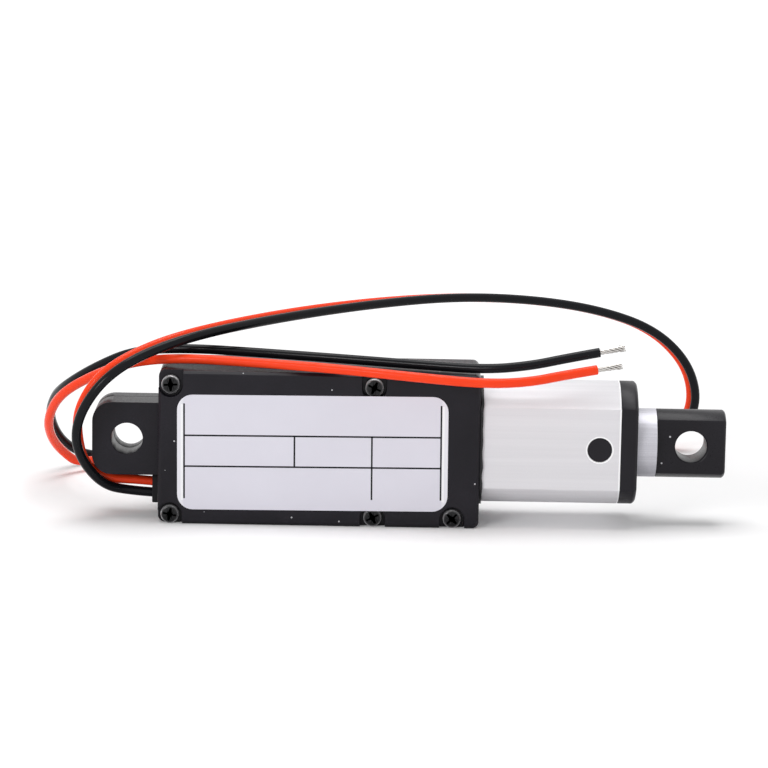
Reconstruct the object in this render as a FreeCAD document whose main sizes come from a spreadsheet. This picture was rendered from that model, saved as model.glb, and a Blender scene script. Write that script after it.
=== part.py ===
import FreeCAD, Part
import math
import os

import Sketcher

# Micro linear actuator, in millimetres. The origin is the centre of the rear eye's bore.
# +X runs along the rod towards its eye, +Z is up, and the screwed front face looks towards -Y.

Vector = FreeCAD.Vector

# Driving dimensions: the sheet gets one cell, with an alias, for each of these.
SIZES = {
    # Travel of the rod
    "stroke": 10.0,
    # Clearances
    "fit": 0.03,
    "running": 0.05,
    "slide_gap": 0.2,
    "moving_gap": 0.3,
    # Moulded housing and its rear eye
    "eye_bore_radius": 2.05,
    "eye_thickness": 7.4,
    "eye_height": 9.5,
    "eye_reach": 4.5,
    "eye_corner": 2.5,
    "eye_to_housing": 4.2,
    "housing_length": 41.4,
    "housing_height": 20.0,
    "motor_side_gap": 0.2,
    "socket_wall": 0.67,
    "housing_drop": 0.5,
    "housing_corner": 0.9,
    "edge_bevel": 0.4,
    "wall": 1.5,
    "parting": 0.8,
    "rib_width": 1.2,
    "rib_inset": 3.0,
    # Cover screws, their notches and bosses: each screw's place is measured from the nearest wall
    "screw_rear": 1.55,
    "screw_middle": 5.1,
    "screw_front": 3.45,
    "screw_inset": 1.85,
    "screw_rise": 1.2,
    "screw_length": 9.5,
    "screw_radius": 0.7,
    "screw_head_radius": 1.19,
    "screw_head_height": 0.95,
    "notch_radius": 1.6,
    "notch_depth": 1.2,
    "boss_radius": 1.15,
    # Wire grommet in the rear wall
    "grommet_rise": 1.75,
    "grommet_gap": 0.3,
    "grommet_width": 4.0,
    "grommet_flange": 1.0,
    "grommet_lip": 0.4,
    # Flatted guide tube
    "tube_radius": 8.0,
    "tube_flats": 12.0,
    "tube_wall": 1.2,
    "tube_insertion": 7.1,
    "tube_allowance": 8.1,
    "sealant_size": 0.35,
    # Front cap that guides the rod, with its snap studs and wiper
    "cap_thickness": 2.2,
    "cap_bevel": 0.35,
    "sleeve_length": 4.7,
    "stud_radius": 1.55,
    "stud_setback": 2.7,
    "wiper_width": 1.0,
    "wiper_height": 1.0,
    # Rod and its eye
    "rod_visible": 2.6,
    "rod_radius": 4.45,
    "rod_bore_radius": 3.1,
    "rod_end_length": 9.0,
    "rod_end_flats": 5.6,
    "rod_end_bevel": 0.3,
    "rod_eye_setback": 4.5,
    "rod_eye_bore_radius": 2.05,
    "rod_eye_chamfer": 0.2,
    "spigot_length": 5.5,
    # Lead screw and its nut
    "screw_thread_radius": 2.0,
    "screw_overrun": 2.4,
    "screw_collar_radius": 2.7,
    "screw_collar_width": 0.9,
    "nut_flange_width": 2.5,
    "nut_shank_length": 5.4,
    "stop_gap": 0.4,
    # Ball bearing behind the screw and the plug that holds it in the tube
    "holder_length": 4.5,
    "holder_lip": 0.6,
    "bearing_radius": 4.0,
    "bearing_width": 3.0,
    "bearing_ring": 0.7,
    "coupling_grip": 2.8,
    "shaft_gap": 0.4,
    # Motor
    "terminal_room": 2.2,
    "terminal_width": 1.6,
    "terminal_thickness": 0.3,
    "terminal_spread": 3.2,
    "motor_radius": 6.0,
    "motor_flats": 10.0,
    "can_length": 14.0,
    "end_bell_width": 1.2,
    "motor_shaft_radius": 0.5,
    "motor_shaft_depth": 6.0,
    # Gearbox: spur stages between two plates, on the motor's axis and one pin beside it
    "plate_width": 0.8,
    "gear_module": 0.2,
    "pinion_teeth": 9,
    "wheel_teeth": 23,
    "gear_backlash": 0.05,
    "tooth_addendum": 0.85,
    "tooth_dedendum": 1.15,
    "tooth_shift": 0.35,
    "gear_width": 1.3,
    "gear_space": 0.3,
    "gear_pin_radius": 0.4,
    "output_radius": 1.5,
    "post_radius": 0.6,
    "post_side": 3.3,
    "post_drop": 4.1,
    # Limit switches on a board along the tube's floor
    "board_width": 3.6,
    "board_thickness": 0.6,
    "switch_length": 1.9,
    "switch_width": 2.6,
    "switch_height": 1.15,
    "plunger_radius": 0.35,
    "plunger_length": 1.2,
    "plunger_reach": 0.5,
    "plunger_travel": 0.3,
    "diode_length": 1.0,
    "diode_width": 0.6,
    "diode_height": 0.4,
    "diode_spread": 1.8,
    # Leads
    "wire_radius": 0.625,
    "strand_radius": 0.3,
    "strand_length": 3.6,
}

BALL_COUNT = 7
BALL_SIDES = 6
BALL_RINGS = (-67.5, -22.5, 22.5, 67.5)
WIRE_SIDES = 6
SMALL_SIDES = 12
TURNED_SIDES = 24
TOLERANCE = 1e-6
PRESSURE_ANGLE = math.radians(20)
FLANK_STEPS = 1
GAP_REACH = 1.3

doc = FreeCAD.newDocument("micro_linear_actuator")
sheet = doc.addObject("Spreadsheet::Sheet", "sizes")
for row, (alias, number) in enumerate(SIZES.items(), start=1):
    sheet.set(f"A{row}", alias)
    sheet.set(f"B{row}", str(number))
    sheet.setAlias(f"B{row}", alias)
doc.recompute()

# Places along the actuator, worked out from the sheet
HOUSING_REAR = "sizes.eye_to_housing"
HOUSING_FRONT = f"({HOUSING_REAR} + sizes.housing_length)"
HOUSING_TOP = "(sizes.housing_height / 2 - sizes.housing_drop)"
HOUSING_FLOOR = "(-sizes.housing_height / 2 - sizes.housing_drop)"
MOTOR_COVER = "(sizes.motor_flats / 2 + sizes.motor_side_gap + sizes.wall)"
TUBE_COVER = "(sizes.tube_flats / 2 + sizes.fit + sizes.socket_wall)"
FRONT_FACE = f"max({MOTOR_COVER}; {TUBE_COVER})"
CAVITY_REAR = f"({HOUSING_REAR} + sizes.wall)"
CAVITY_TOP = f"({HOUSING_TOP} - sizes.wall)"
CAVITY_FLOOR = f"({HOUSING_FLOOR} + sizes.wall)"
TUBE_START = f"({HOUSING_FRONT} - sizes.tube_insertion)"
TUBE_END = f"({HOUSING_FRONT} + sizes.stroke + sizes.tube_allowance)"
CAVITY_FRONT = f"({TUBE_START} - sizes.wall)"
CAP_FRONT = f"({TUBE_END} + sizes.cap_thickness)"
SLEEVE_START = f"({TUBE_END} - sizes.sleeve_length)"
STUD_PLACE = f"({TUBE_END} - sizes.stud_setback)"
ROD_START = f"({SLEEVE_START} - sizes.stop_gap - sizes.stroke)"
NUT_REAR = f"({ROD_START} - sizes.nut_flange_width)"
ROD_END_START = f"({CAP_FRONT} + sizes.rod_visible)"
ROD_EYE = f"({ROD_END_START} + sizes.rod_eye_setback)"
HOLDER_FRONT = f"({TUBE_START} + sizes.holder_length)"
BEARING_FRONT = f"({HOLDER_FRONT} - sizes.holder_lip)"
BEARING_REAR = f"({BEARING_FRONT} - sizes.bearing_width)"
SCREW_TIP = f"({ROD_START} + sizes.stroke + sizes.screw_overrun)"
MOTOR_REAR = f"({CAVITY_REAR} + sizes.terminal_room)"
CAN_REAR = f"({MOTOR_REAR} + sizes.end_bell_width)"
GEARBOX_REAR = f"({CAN_REAR} + sizes.can_length)"
GEARS_REAR = f"({GEARBOX_REAR} + sizes.plate_width)"
STAGE = "(sizes.gear_width + sizes.gear_space)"
GEARS_FRONT = f"({GEARS_REAR} + 4 * {STAGE} + sizes.gear_space)"
GEARBOX_FRONT = f"({GEARS_FRONT} + sizes.plate_width)"
COUPLING_REAR = f"({GEARBOX_FRONT} + sizes.gear_space)"
OUTPUT_END = f"({COUPLING_REAR} + sizes.coupling_grip)"
SCREW_REAR = f"({OUTPUT_END} + sizes.shaft_gap)"

# Sections shared by pieces that fit into each other
TUBE_BORE = "(sizes.tube_radius - sizes.tube_wall)"
TUBE_BORE_FLATS = "(sizes.tube_flats - 2 * sizes.tube_wall)"
PLUG_RADIUS = f"({TUBE_BORE} - sizes.fit)"
PLUG_FLATS = f"({TUBE_BORE_FLATS} - 2 * sizes.fit)"
RING_BORE = "sizes.screw_thread_radius"
RING_OUTER = f"({RING_BORE} + sizes.bearing_ring)"
OUTER_RING_BORE = "(sizes.bearing_radius - sizes.bearing_ring)"
BALL_CIRCLE = f"(({RING_OUTER} + {OUTER_RING_BORE}) / 2)"
ROD_GUIDE = "(sizes.rod_radius + sizes.running)"
BOARD_FLOOR = f"(-sqrt(pow({PLUG_RADIUS}; 2) - pow(sizes.board_width / 2; 2)))"
BOARD_TOP = f"({BOARD_FLOOR} + sizes.board_thickness)"
PLUNGER_HEIGHT = f"({BOARD_TOP} + sizes.switch_height / 2)"
RETRACT_TIP = f"({NUT_REAR} - sizes.moving_gap)"
EXTEND_TIP = f"({ROD_START} + sizes.stroke + sizes.moving_gap)"
PINION_TEETH = "round(sizes.pinion_teeth)"
WHEEL_TEETH = "round(sizes.wheel_teeth)"
GEAR_CENTRES = f"(sizes.gear_module * ({PINION_TEETH} + {WHEEL_TEETH}) / 2)"
GROMMET_FLOOR = f"({HOUSING_FLOOR} + sizes.grommet_rise)"
GROMMET_TOP = "(-sizes.eye_height / 2 - sizes.grommet_gap)"
LOWER_SCREWS = f"({HOUSING_FLOOR} + sizes.screw_rise)"
UPPER_SCREWS = f"({HOUSING_TOP} - sizes.screw_inset)"
LOWER_BOSS_TOP = f"({LOWER_SCREWS} + sizes.boss_radius)"
INNER_LIP_FLOOR = f"({LOWER_BOSS_TOP} + sizes.fit)"
WINDOW_TOP = f"({GROMMET_TOP} - sizes.grommet_lip)"
WINDOW_FLOOR = f"({INNER_LIP_FLOOR} + sizes.grommet_lip)"
WINDOW_HALF = "(sizes.grommet_width / 2 - sizes.grommet_lip)"

# The cover screws, as X, Z and the edge that each one's notch is open to
REAR_SCREWS = f"({HOUSING_REAR} + sizes.screw_rear)"
MIDDLE_SCREWS = f"({CAVITY_FRONT} - sizes.screw_middle)"
FRONT_SCREW = f"({HOUSING_FRONT} - sizes.screw_front)"
SCREW_PLACES = [
    (REAR_SCREWS, UPPER_SCREWS, HOUSING_TOP),
    (REAR_SCREWS, LOWER_SCREWS, HOUSING_FLOOR),
    (MIDDLE_SCREWS, UPPER_SCREWS, HOUSING_TOP),
    (MIDDLE_SCREWS, LOWER_SCREWS, HOUSING_FLOOR),
    (FRONT_SCREW, LOWER_SCREWS, HOUSING_FLOOR),
]

nodes = []


def value(expression):
    """The number that an expression on the sheet gives."""
    return float(sheet.evalExpression(expression))


def keep(piece, label):
    """Names a finished sub-part and puts it on the list of those that are written."""
    piece.Label = label
    nodes.append(piece)
    return piece


# Sketching
def new_body(label):
    return keep(doc.addObject("PartDesign::Body", label), label)


def origin_part(body, role):
    return next(part for part in body.Origin.OriginFeatures if part.Role == role)


def sketch_on(body, role, offset):
    """A sketch on one of the body's own planes, moved along that plane's normal."""
    sketch = body.newObject("Sketcher::SketchObject", "profile")
    sketch.AttachmentSupport = [(origin_part(body, role), "")]
    sketch.MapMode = "FlatFace"
    sketch.setExpression("AttachmentOffset.Base.z", offset)
    return sketch


def across(body, offset="0"):
    """A sketch across the actuator's axis: its x is Y, its y is Z, and it pads towards +X."""
    return sketch_on(body, "YZ_Plane", offset)


def along(body, offset="0"):
    """A sketch beside the actuator's axis: its x is X, its y is Z, and it pads towards -Y."""
    return sketch_on(body, "XZ_Plane", offset)


def pin_point(sketch, geometry, point, x, y):
    """Binds a sketch point to two expressions."""
    for kind, expression, axis in (("DistanceX", x, -2), ("DistanceY", y, -1)):
        if expression == "0":
            sketch.addConstraint(Sketcher.Constraint("PointOnObject", geometry, point, axis))
            continue
        limit = Sketcher.Constraint(kind, -1, 1, geometry, point, value(expression))
        sketch.setExpression(f"Constraints[{sketch.addConstraint(limit)}]", expression)


def polygon(sketch, points):
    """A closed outline through points whose coordinates are expressions."""
    places = [Vector(value(x), value(y), 0) for x, y in points]
    first = sketch.GeometryCount
    count = len(points)
    for i in range(count):
        sketch.addGeometry(Part.LineSegment(places[i], places[(i + 1) % count]), False)
    for i, (x, y) in enumerate(points):
        ahead = first + (i + 1) % count
        sketch.addConstraint(Sketcher.Constraint("Coincident", first + i, 2, ahead, 1))
        pin_point(sketch, first + i, 1, x, y)


def rectangle(sketch, x_low, y_low, x_high, y_high):
    polygon(sketch, [(x_low, y_low), (x_high, y_low), (x_high, y_high), (x_low, y_high)])


def circle(sketch, x, y, radius):
    place = Vector(value(x), value(y), 0)
    index = sketch.addGeometry(Part.Circle(place, Vector(0, 0, 1), value(radius)), False)
    pin_point(sketch, index, 3, x, y)
    limit = sketch.addConstraint(Sketcher.Constraint("Radius", index, value(radius)))
    sketch.setExpression(f"Constraints[{limit}]", radius)


def few_sides(sides, around=False):
    """A way to draw circles with few sides: inside the circle, or around it where a round piece goes in."""
    size = 1 / math.cos(math.pi / sides) if around else 1
    turns = [2 * math.pi * (side + 0.5) / sides for side in range(sides)]
    corners = [(size * math.cos(turn), size * math.sin(turn)) for turn in turns]

    def draw(sketch, x, y, radius):
        polygon(sketch, [(f"{u:.6f} * ({radius}) + {x}", f"{v:.6f} * ({radius}) + {y}") for u, v in corners])

    return draw


# Pins, screw holes and other small circles, and the turned pieces that the tube hides
small_round = few_sides(SMALL_SIDES)
turned = few_sides(TURNED_SIDES)
bored = few_sides(TURNED_SIDES, around=True)


def flatted_circle(sketch, radius, flats):
    """A circle about the axis with two flats, one to the front and one to the rear."""
    size = value(radius)
    half = value(flats) / 2
    edge = math.acos(half / size)
    ring = Part.Circle(Vector(0, 0, 0), Vector(0, 0, 1), size)
    rise = size * math.sin(edge)
    first = sketch.GeometryCount
    sketch.addGeometry(Part.ArcOfCircle(ring, edge, math.pi - edge), False)
    sketch.addGeometry(Part.LineSegment(Vector(-half, rise, 0), Vector(-half, -rise, 0)), False)
    sketch.addGeometry(Part.ArcOfCircle(ring, math.pi + edge, 2 * math.pi - edge), False)
    sketch.addGeometry(Part.LineSegment(Vector(half, -rise, 0), Vector(half, rise, 0)), False)
    for i in range(4):
        ahead = first + (i + 1) % 4
        sketch.addConstraint(Sketcher.Constraint("Coincident", first + i, 2, ahead, 1))
    for arc in (first, first + 2):
        sketch.addConstraint(Sketcher.Constraint("Coincident", arc, 3, -1, 1))
    sketch.addConstraint(Sketcher.Constraint("Equal", first, first + 2))
    limit = sketch.addConstraint(Sketcher.Constraint("Radius", first, size))
    sketch.setExpression(f"Constraints[{limit}]", radius)
    for line, sign in ((first + 1, -1), (first + 3, 1)):
        sketch.addConstraint(Sketcher.Constraint("Vertical", line))
        limit = sketch.addConstraint(Sketcher.Constraint("DistanceX", -1, 1, line, 1, sign * half))
        sketch.setExpression(f"Constraints[{limit}]", f"{sign} * {flats} / 2")


# Features
def pad(body, sketch, length, reverse=False):
    """Adds material along the sketch's normal, or against it."""
    feature = body.newObject("PartDesign::Pad", "pad")
    feature.Profile = sketch
    feature.Reversed = reverse
    feature.setExpression("Length", length)
    doc.recompute()
    return feature


def pocket(body, sketch, length, with_normal=True):
    """Cuts along the sketch's normal, or against it, and makes sure that it cut something."""
    before = body.Shape.Volume
    feature = body.newObject("PartDesign::Pocket", "pocket")
    feature.Profile = sketch
    feature.Reversed = with_normal
    feature.setExpression("Length", length)
    doc.recompute()
    if body.Shape.Volume >= before:
        raise ValueError(f"a pocket of {body.Label} cuts nothing")
    return feature


def dress(body, kind, feature, chosen, prop, size):
    """Rounds or bevels the edges of a feature that a test chooses."""
    edges = [f"Edge{i}" for i, edge in enumerate(feature.Shape.Edges, start=1) if chosen(edge)]
    dressed = body.newObject(f"PartDesign::{kind}", kind.lower())
    dressed.Base = (feature, edges)
    dressed.setExpression(prop, size)
    doc.recompute()
    return dressed


def fillet(body, feature, chosen, radius):
    return dress(body, "Fillet", feature, chosen, "Radius", radius)


def bevel(body, feature, chosen, size):
    return dress(body, "Chamfer", feature, chosen, "Size", size)


def near(number, *places):
    return any(abs(number - value(place)) < TOLERANCE for place in places)


def at_x(place):
    """A test for edges that lie in a plane across the axis."""
    return lambda edge: all(near(vertex.Point.x, place) for vertex in edge.Vertexes)


def at_y(place):
    """A test for edges that lie in a plane beside the axis."""
    return lambda edge: all(near(vertex.Point.y, place) for vertex in edge.Vertexes)


def along_y(edge):
    return len(edge.Vertexes) == 2 and abs(edge.tangentAt(edge.FirstParameter).y) > 1 - TOLERANCE


def plain_round(label, radius, start, end, bore=None, outline=turned):
    """A turned piece about the axis, with or without a bore."""
    body = new_body(label)
    sketch = across(body, start)
    outline(sketch, "0", "0", radius)
    pad(body, sketch, f"{end} - {start}")
    if bore:
        hole = across(body, start)
        (circle if outline is circle else bored)(hole, "0", "0", bore)
        pocket(body, hole, f"{end} - {start}")
    return body


# Primitives for the small plain pieces
def block(name, x, y, z, length, width, height):
    piece = doc.addObject("Part::Box", name)
    for prop, expression in (
        ("Length", length),
        ("Width", width),
        ("Height", height),
        ("Placement.Base.x", x),
        ("Placement.Base.y", y),
        ("Placement.Base.z", z),
    ):
        piece.setExpression(prop, expression)
    return piece


def bar(name, direction, x, y, z, radius, length):
    """A thin bar from a point along +X or +Y, with few sides."""
    piece = doc.addObject("Part::Prism", name)
    piece.Polygon = SMALL_SIDES
    piece.Placement.Rotation = FreeCAD.Rotation(Vector(0, 0, 1), direction)
    for prop, expression in (
        ("Circumradius", radius),
        ("Height", length),
        ("Placement.Base.x", x),
        ("Placement.Base.y", y),
        ("Placement.Base.z", z),
    ):
        piece.setExpression(prop, expression)
    return piece


ALONG_X = Vector(1, 0, 0)
ALONG_Y = Vector(0, 1, 0)
ALONG_Z = Vector(0, 0, 1)


def joined(name, kind, parts):
    piece = doc.addObject(f"Part::{kind}", name)
    if kind == "Compound":
        piece.Links = parts
    elif kind == "Cut":
        piece.Base, piece.Tool = parts
    else:
        piece.Shapes = parts
    return piece


# Moulded shells: the housing and its eye are split in one plane, a little behind the axis
def shell(label, front):
    """One half of the housing with its half of the eye. The front half has the screw notches."""
    body = new_body(label)
    side = 1 if front else -1
    thickness = f"({FRONT_FACE} + {side} * sizes.parting)"
    hollow = f"({thickness} - sizes.wall)"
    split = "-sizes.parting"

    sketch = along(body, split)
    rectangle(sketch, HOUSING_REAR, HOUSING_FLOOR, HOUSING_FRONT, HOUSING_TOP)
    pad(body, sketch, thickness, reverse=not front)
    sketch = along(body, split)
    rectangle(sketch, "-sizes.eye_reach", "-sizes.eye_height / 2", CAVITY_REAR, "sizes.eye_height / 2")
    solid = pad(body, sketch, f"sizes.eye_thickness / 2 + {side} * sizes.parting", reverse=not front)

    def eye_corner(edge):
        return along_y(edge) and near(edge.Vertexes[0].Point.x, "-sizes.eye_reach")

    def housing_corner(edge):
        spot = edge.Vertexes[0].Point
        at_end = near(spot.x, HOUSING_REAR, HOUSING_FRONT)
        return along_y(edge) and at_end and near(spot.z, HOUSING_TOP, HOUSING_FLOOR)

    solid = fillet(body, solid, eye_corner, "sizes.eye_corner")
    solid = fillet(body, solid, housing_corner, "sizes.housing_corner")
    bevel(body, solid, at_y(f"-{side} * {FRONT_FACE}"), "sizes.edge_bevel")

    # Cavity for the motor, with bosses for the screws and ribs that cradle the motor
    sketch = along(body, split)
    rectangle(sketch, CAVITY_REAR, CAVITY_FLOOR, CAVITY_FRONT, CAVITY_TOP)
    pocket(body, sketch, hollow, with_normal=front)
    for x, z, _ in SCREW_PLACES:
        sketch = along(body, split)
        small_round(sketch, x, z, "sizes.boss_radius")
        pad(body, sketch, hollow, reverse=not front)
    cradle = "(sizes.motor_radius + sizes.running)"
    for start in (
        f"({CAN_REAR} + sizes.rib_inset)",
        f"({GEARBOX_REAR} - sizes.rib_inset - sizes.rib_width)",
    ):
        for low, high in ((cradle, CAVITY_TOP), (CAVITY_FLOOR, f"-{cradle}")):
            sketch = along(body, split)
            rectangle(sketch, start, low, f"{start} + sizes.rib_width", high)
            pad(body, sketch, hollow, reverse=not front)

    # Opening for the coupling, then the socket for the guide tube
    sketch = across(body, CAVITY_FRONT)
    circle(sketch, "0", "0", "sizes.bearing_radius + sizes.moving_gap")
    pocket(body, sketch, "sizes.wall")
    sketch = across(body, TUBE_START)
    flatted_circle(sketch, "(sizes.tube_radius + sizes.fit)", "(sizes.tube_flats + 2 * sizes.fit)")
    pocket(body, sketch, "sizes.tube_insertion")

    # Window for the wire grommet in the rear wall, and the bore of the eye
    sketch = across(body, HOUSING_REAR)
    rectangle(sketch, f"-{WINDOW_HALF}", WINDOW_FLOOR, WINDOW_HALF, WINDOW_TOP)
    pocket(body, sketch, "sizes.wall")
    sketch = along(body, "sizes.eye_thickness / 2")
    circle(sketch, "0", "0", "sizes.eye_bore_radius")
    pocket(body, sketch, "sizes.eye_thickness", with_normal=False)

    # Screw holes, and in the front half the notches that let the heads in flush
    for x, z, edge in SCREW_PLACES:
        if front:
            sketch = along(body, FRONT_FACE)
            circle(sketch, x, z, "sizes.notch_radius")
            pocket(body, sketch, "sizes.notch_depth", with_normal=False)
            sketch = along(body, FRONT_FACE)
            rectangle(sketch, f"{x} - sizes.notch_radius", z, f"{x} + sizes.notch_radius", edge)
            pocket(body, sketch, "sizes.notch_depth", with_normal=False)
        sketch = along(body, FRONT_FACE)
        small_round(sketch, x, z, "sizes.screw_radius + sizes.fit")
        pocket(body, sketch, "sizes.notch_depth + sizes.screw_length + sizes.moving_gap", with_normal=False)
    return body


def cover_screws():
    """Five pan-head screws from the front shell into the bosses of the rear shell."""
    screws = []
    for number, (x, z, _) in enumerate(SCREW_PLACES, start=1):
        seat = f"(sizes.notch_depth - {FRONT_FACE})"
        head = bar(
            f"head_{number}",
            ALONG_Y,
            x,
            f"{seat} - sizes.screw_head_height",
            z,
            "sizes.screw_head_radius",
            "sizes.screw_head_height",
        )
        shank = bar(f"shank_{number}", ALONG_Y, x, seat, z, "sizes.screw_radius", "sizes.screw_length")
        screws.append(joined(f"screw_{number}", "MultiFuse", [head, shank]))
    keep(joined("cover_screws", "Compound", screws), "cover_screws")


def wire_grommet():
    """A rubber grommet that grips the rear wall. The leads leave its outer lip side by side."""
    body = new_body("wire_grommet")
    half = "(sizes.grommet_width / 2)"
    neck = f"({WINDOW_HALF} - sizes.fit)"
    sketch = across(body, f"{HOUSING_REAR} - sizes.grommet_flange")
    rectangle(sketch, f"-{half}", GROMMET_FLOOR, half, GROMMET_TOP)
    pad(body, sketch, "sizes.grommet_flange - sizes.fit")
    sketch = across(body, f"{HOUSING_REAR} - sizes.fit")
    rectangle(sketch, f"-{neck}", f"{WINDOW_FLOOR} + sizes.fit", neck, f"{WINDOW_TOP} - sizes.fit")
    pad(body, sketch, "sizes.wall + 2 * sizes.fit")
    sketch = across(body, f"{CAVITY_REAR} + sizes.fit")
    rectangle(sketch, f"-{half}", INNER_LIP_FLOOR, half, GROMMET_TOP)
    pad(body, sketch, "sizes.grommet_flange - sizes.fit")


# Guide tube, its sealant and the front cap
def guide_tube():
    """Drawn aluminium tube with two flats; a hole in each flat takes a snap stud of the cap."""
    body = new_body("guide_tube")
    sketch = across(body, TUBE_START)
    flatted_circle(sketch, "sizes.tube_radius", "sizes.tube_flats")
    pad(body, sketch, f"{TUBE_END} - {TUBE_START}")
    sketch = across(body, TUBE_START)
    flatted_circle(sketch, TUBE_BORE, TUBE_BORE_FLATS)
    pocket(body, sketch, f"{TUBE_END} - {TUBE_START}")
    sketch = along(body, "sizes.tube_flats / 2")
    circle(sketch, STUD_PLACE, "0", "sizes.stud_radius + sizes.fit")
    pocket(body, sketch, "sizes.tube_flats", with_normal=False)


def tube_sealant():
    """The bead of sealant round the tube where it enters the housing."""
    body = new_body("tube_sealant")
    sketch = across(body, HOUSING_FRONT)
    flatted_circle(
        sketch,
        "(sizes.tube_radius + sizes.sealant_size)",
        "(sizes.tube_flats + 2 * sizes.sealant_size)",
    )
    pad(body, sketch, "sizes.sealant_size")
    sketch = across(body, HOUSING_FRONT)
    flatted_circle(sketch, "(sizes.tube_radius + sizes.fit)", "(sizes.tube_flats + 2 * sizes.fit)")
    pocket(body, sketch, "sizes.sealant_size")


def front_cap():
    """The cap over the tube's end: flange, split guide sleeve, snap studs and wiper groove."""
    body = new_body("front_cap")
    sketch = across(body, TUBE_END)
    flatted_circle(sketch, "sizes.tube_radius", "sizes.tube_flats")
    flange = pad(body, sketch, "sizes.cap_thickness")
    bevel(body, flange, at_x(CAP_FRONT), "sizes.cap_bevel")
    sketch = across(body, SLEEVE_START)
    flatted_circle(sketch, PLUG_RADIUS, PLUG_FLATS)
    pad(body, sketch, "sizes.sleeve_length")
    sketch = along(body, "sizes.tube_flats / 2")
    circle(sketch, STUD_PLACE, "0", "sizes.stud_radius")
    pad(body, sketch, "sizes.tube_flats", reverse=True)
    sketch = across(body, SLEEVE_START)
    circle(sketch, "0", "0", ROD_GUIDE)
    pocket(body, sketch, "sizes.sleeve_length + sizes.cap_thickness")
    sketch = across(body, f"{CAP_FRONT} - sizes.cap_thickness / 2 - sizes.wiper_width / 2 - sizes.fit")
    circle(sketch, "0", "0", "sizes.rod_radius + sizes.wiper_height + sizes.fit")
    pocket(body, sketch, "sizes.wiper_width + 2 * sizes.fit")
    # The sleeve is slit along its floor, where the limit board lies
    sketch = across(body, SLEEVE_START)
    half = "(sizes.board_width / 2 + sizes.moving_gap)"
    rectangle(sketch, f"-{half}", "-sizes.tube_radius", half, "-sizes.rod_radius / 2")
    pocket(body, sketch, "sizes.sleeve_length")


def rod_wiper():
    """The rubber ring in the cap that wipes the rod."""
    start = f"({CAP_FRONT} - sizes.cap_thickness / 2 - sizes.wiper_width / 2)"
    plain_round(
        "rod_wiper",
        "(sizes.rod_radius + sizes.wiper_height)",
        start,
        f"({start} + sizes.wiper_width)",
        bore="(sizes.rod_radius + sizes.fit)",
    )


# Rod assembly
def push_rod():
    """Aluminium tube that slides in the cap."""
    plain_round(
        "push_rod",
        "sizes.rod_radius",
        ROD_START,
        ROD_END_START,
        bore="sizes.rod_bore_radius",
        outline=circle,
    )


def rod_end():
    """The black eye on the rod: a flatted bar with a spigot pressed into the rod."""
    body = new_body("rod_end")
    sketch = across(body, ROD_END_START)
    flatted_circle(sketch, "sizes.rod_radius", "sizes.rod_end_flats")
    flange = pad(body, sketch, "sizes.rod_end_length")
    bevel(body, flange, at_x(f"{ROD_END_START} + sizes.rod_end_length"), "sizes.rod_end_bevel")
    sketch = across(body, f"{ROD_END_START} - sizes.spigot_length")
    flatted_circle(sketch, "(sizes.rod_bore_radius - sizes.fit)", "sizes.rod_end_flats")
    pad(body, sketch, "sizes.spigot_length")
    sketch = along(body, "sizes.rod_end_flats / 2")
    circle(sketch, ROD_EYE, "0", "sizes.rod_eye_bore_radius")
    eye = pocket(body, sketch, "sizes.rod_end_flats", with_normal=False)

    def bore_rim(edge):
        place = edge.Vertexes[0].Point.y
        return len(edge.Vertexes) == 1 and near(abs(place), "sizes.rod_end_flats / 2")

    bevel(body, eye, bore_rim, "sizes.rod_eye_chamfer")


def drive_nut():
    """The nut: a flatted flange that the tube keeps from turning, and a shank pressed into the rod."""
    body = new_body("drive_nut")
    sketch = across(body, NUT_REAR)
    flatted_circle(
        sketch,
        f"(-{BOARD_TOP} - sizes.moving_gap)",
        f"({TUBE_BORE_FLATS} - 2 * sizes.slide_gap)",
    )
    pad(body, sketch, "sizes.nut_flange_width")
    sketch = across(body, ROD_START)
    turned(sketch, "0", "0", "sizes.rod_bore_radius - sizes.fit")
    pad(body, sketch, "sizes.nut_shank_length")
    sketch = across(body, NUT_REAR)
    bored(sketch, "0", "0", "sizes.screw_thread_radius + sizes.running")
    pocket(body, sketch, "sizes.nut_flange_width + sizes.nut_shank_length")


# Screw assembly
def lead_screw():
    """The screw, with the collar that takes the thrust on the bearing."""
    body = new_body("lead_screw")
    sketch = across(body, SCREW_REAR)
    turned(sketch, "0", "0", "sizes.screw_thread_radius")
    pad(body, sketch, f"{SCREW_TIP} - {SCREW_REAR}")
    sketch = across(body, BEARING_FRONT)
    turned(sketch, "0", "0", "sizes.screw_collar_radius")
    pad(body, sketch, "sizes.screw_collar_width")


def shaft_coupling():
    """A sleeve that joins the gearbox's output shaft to the screw."""
    body = plain_round(
        "shaft_coupling",
        RING_OUTER,
        COUPLING_REAR,
        BEARING_REAR,
        bore="sizes.output_radius + sizes.fit",
    )
    sketch = across(body, SCREW_REAR)
    bored(sketch, "0", "0", "sizes.screw_thread_radius + sizes.fit")
    pocket(body, sketch, f"{BEARING_REAR} - {SCREW_REAR}")


def screw_bearing():
    """The two rings and the balls of the bearing behind the screw."""
    for label, radius, bore in (
        ("bearing_outer_ring", "sizes.bearing_radius", OUTER_RING_BORE),
        ("bearing_inner_ring", RING_OUTER, f"({RING_BORE} + sizes.fit)"),
    ):
        plain_round(label, radius, BEARING_REAR, BEARING_FRONT, bore=bore)
    balls = [bearing_ball(number) for number in range(BALL_COUNT)]
    keep(joined("bearing_balls", "Compound", balls), "bearing_balls")


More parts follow.
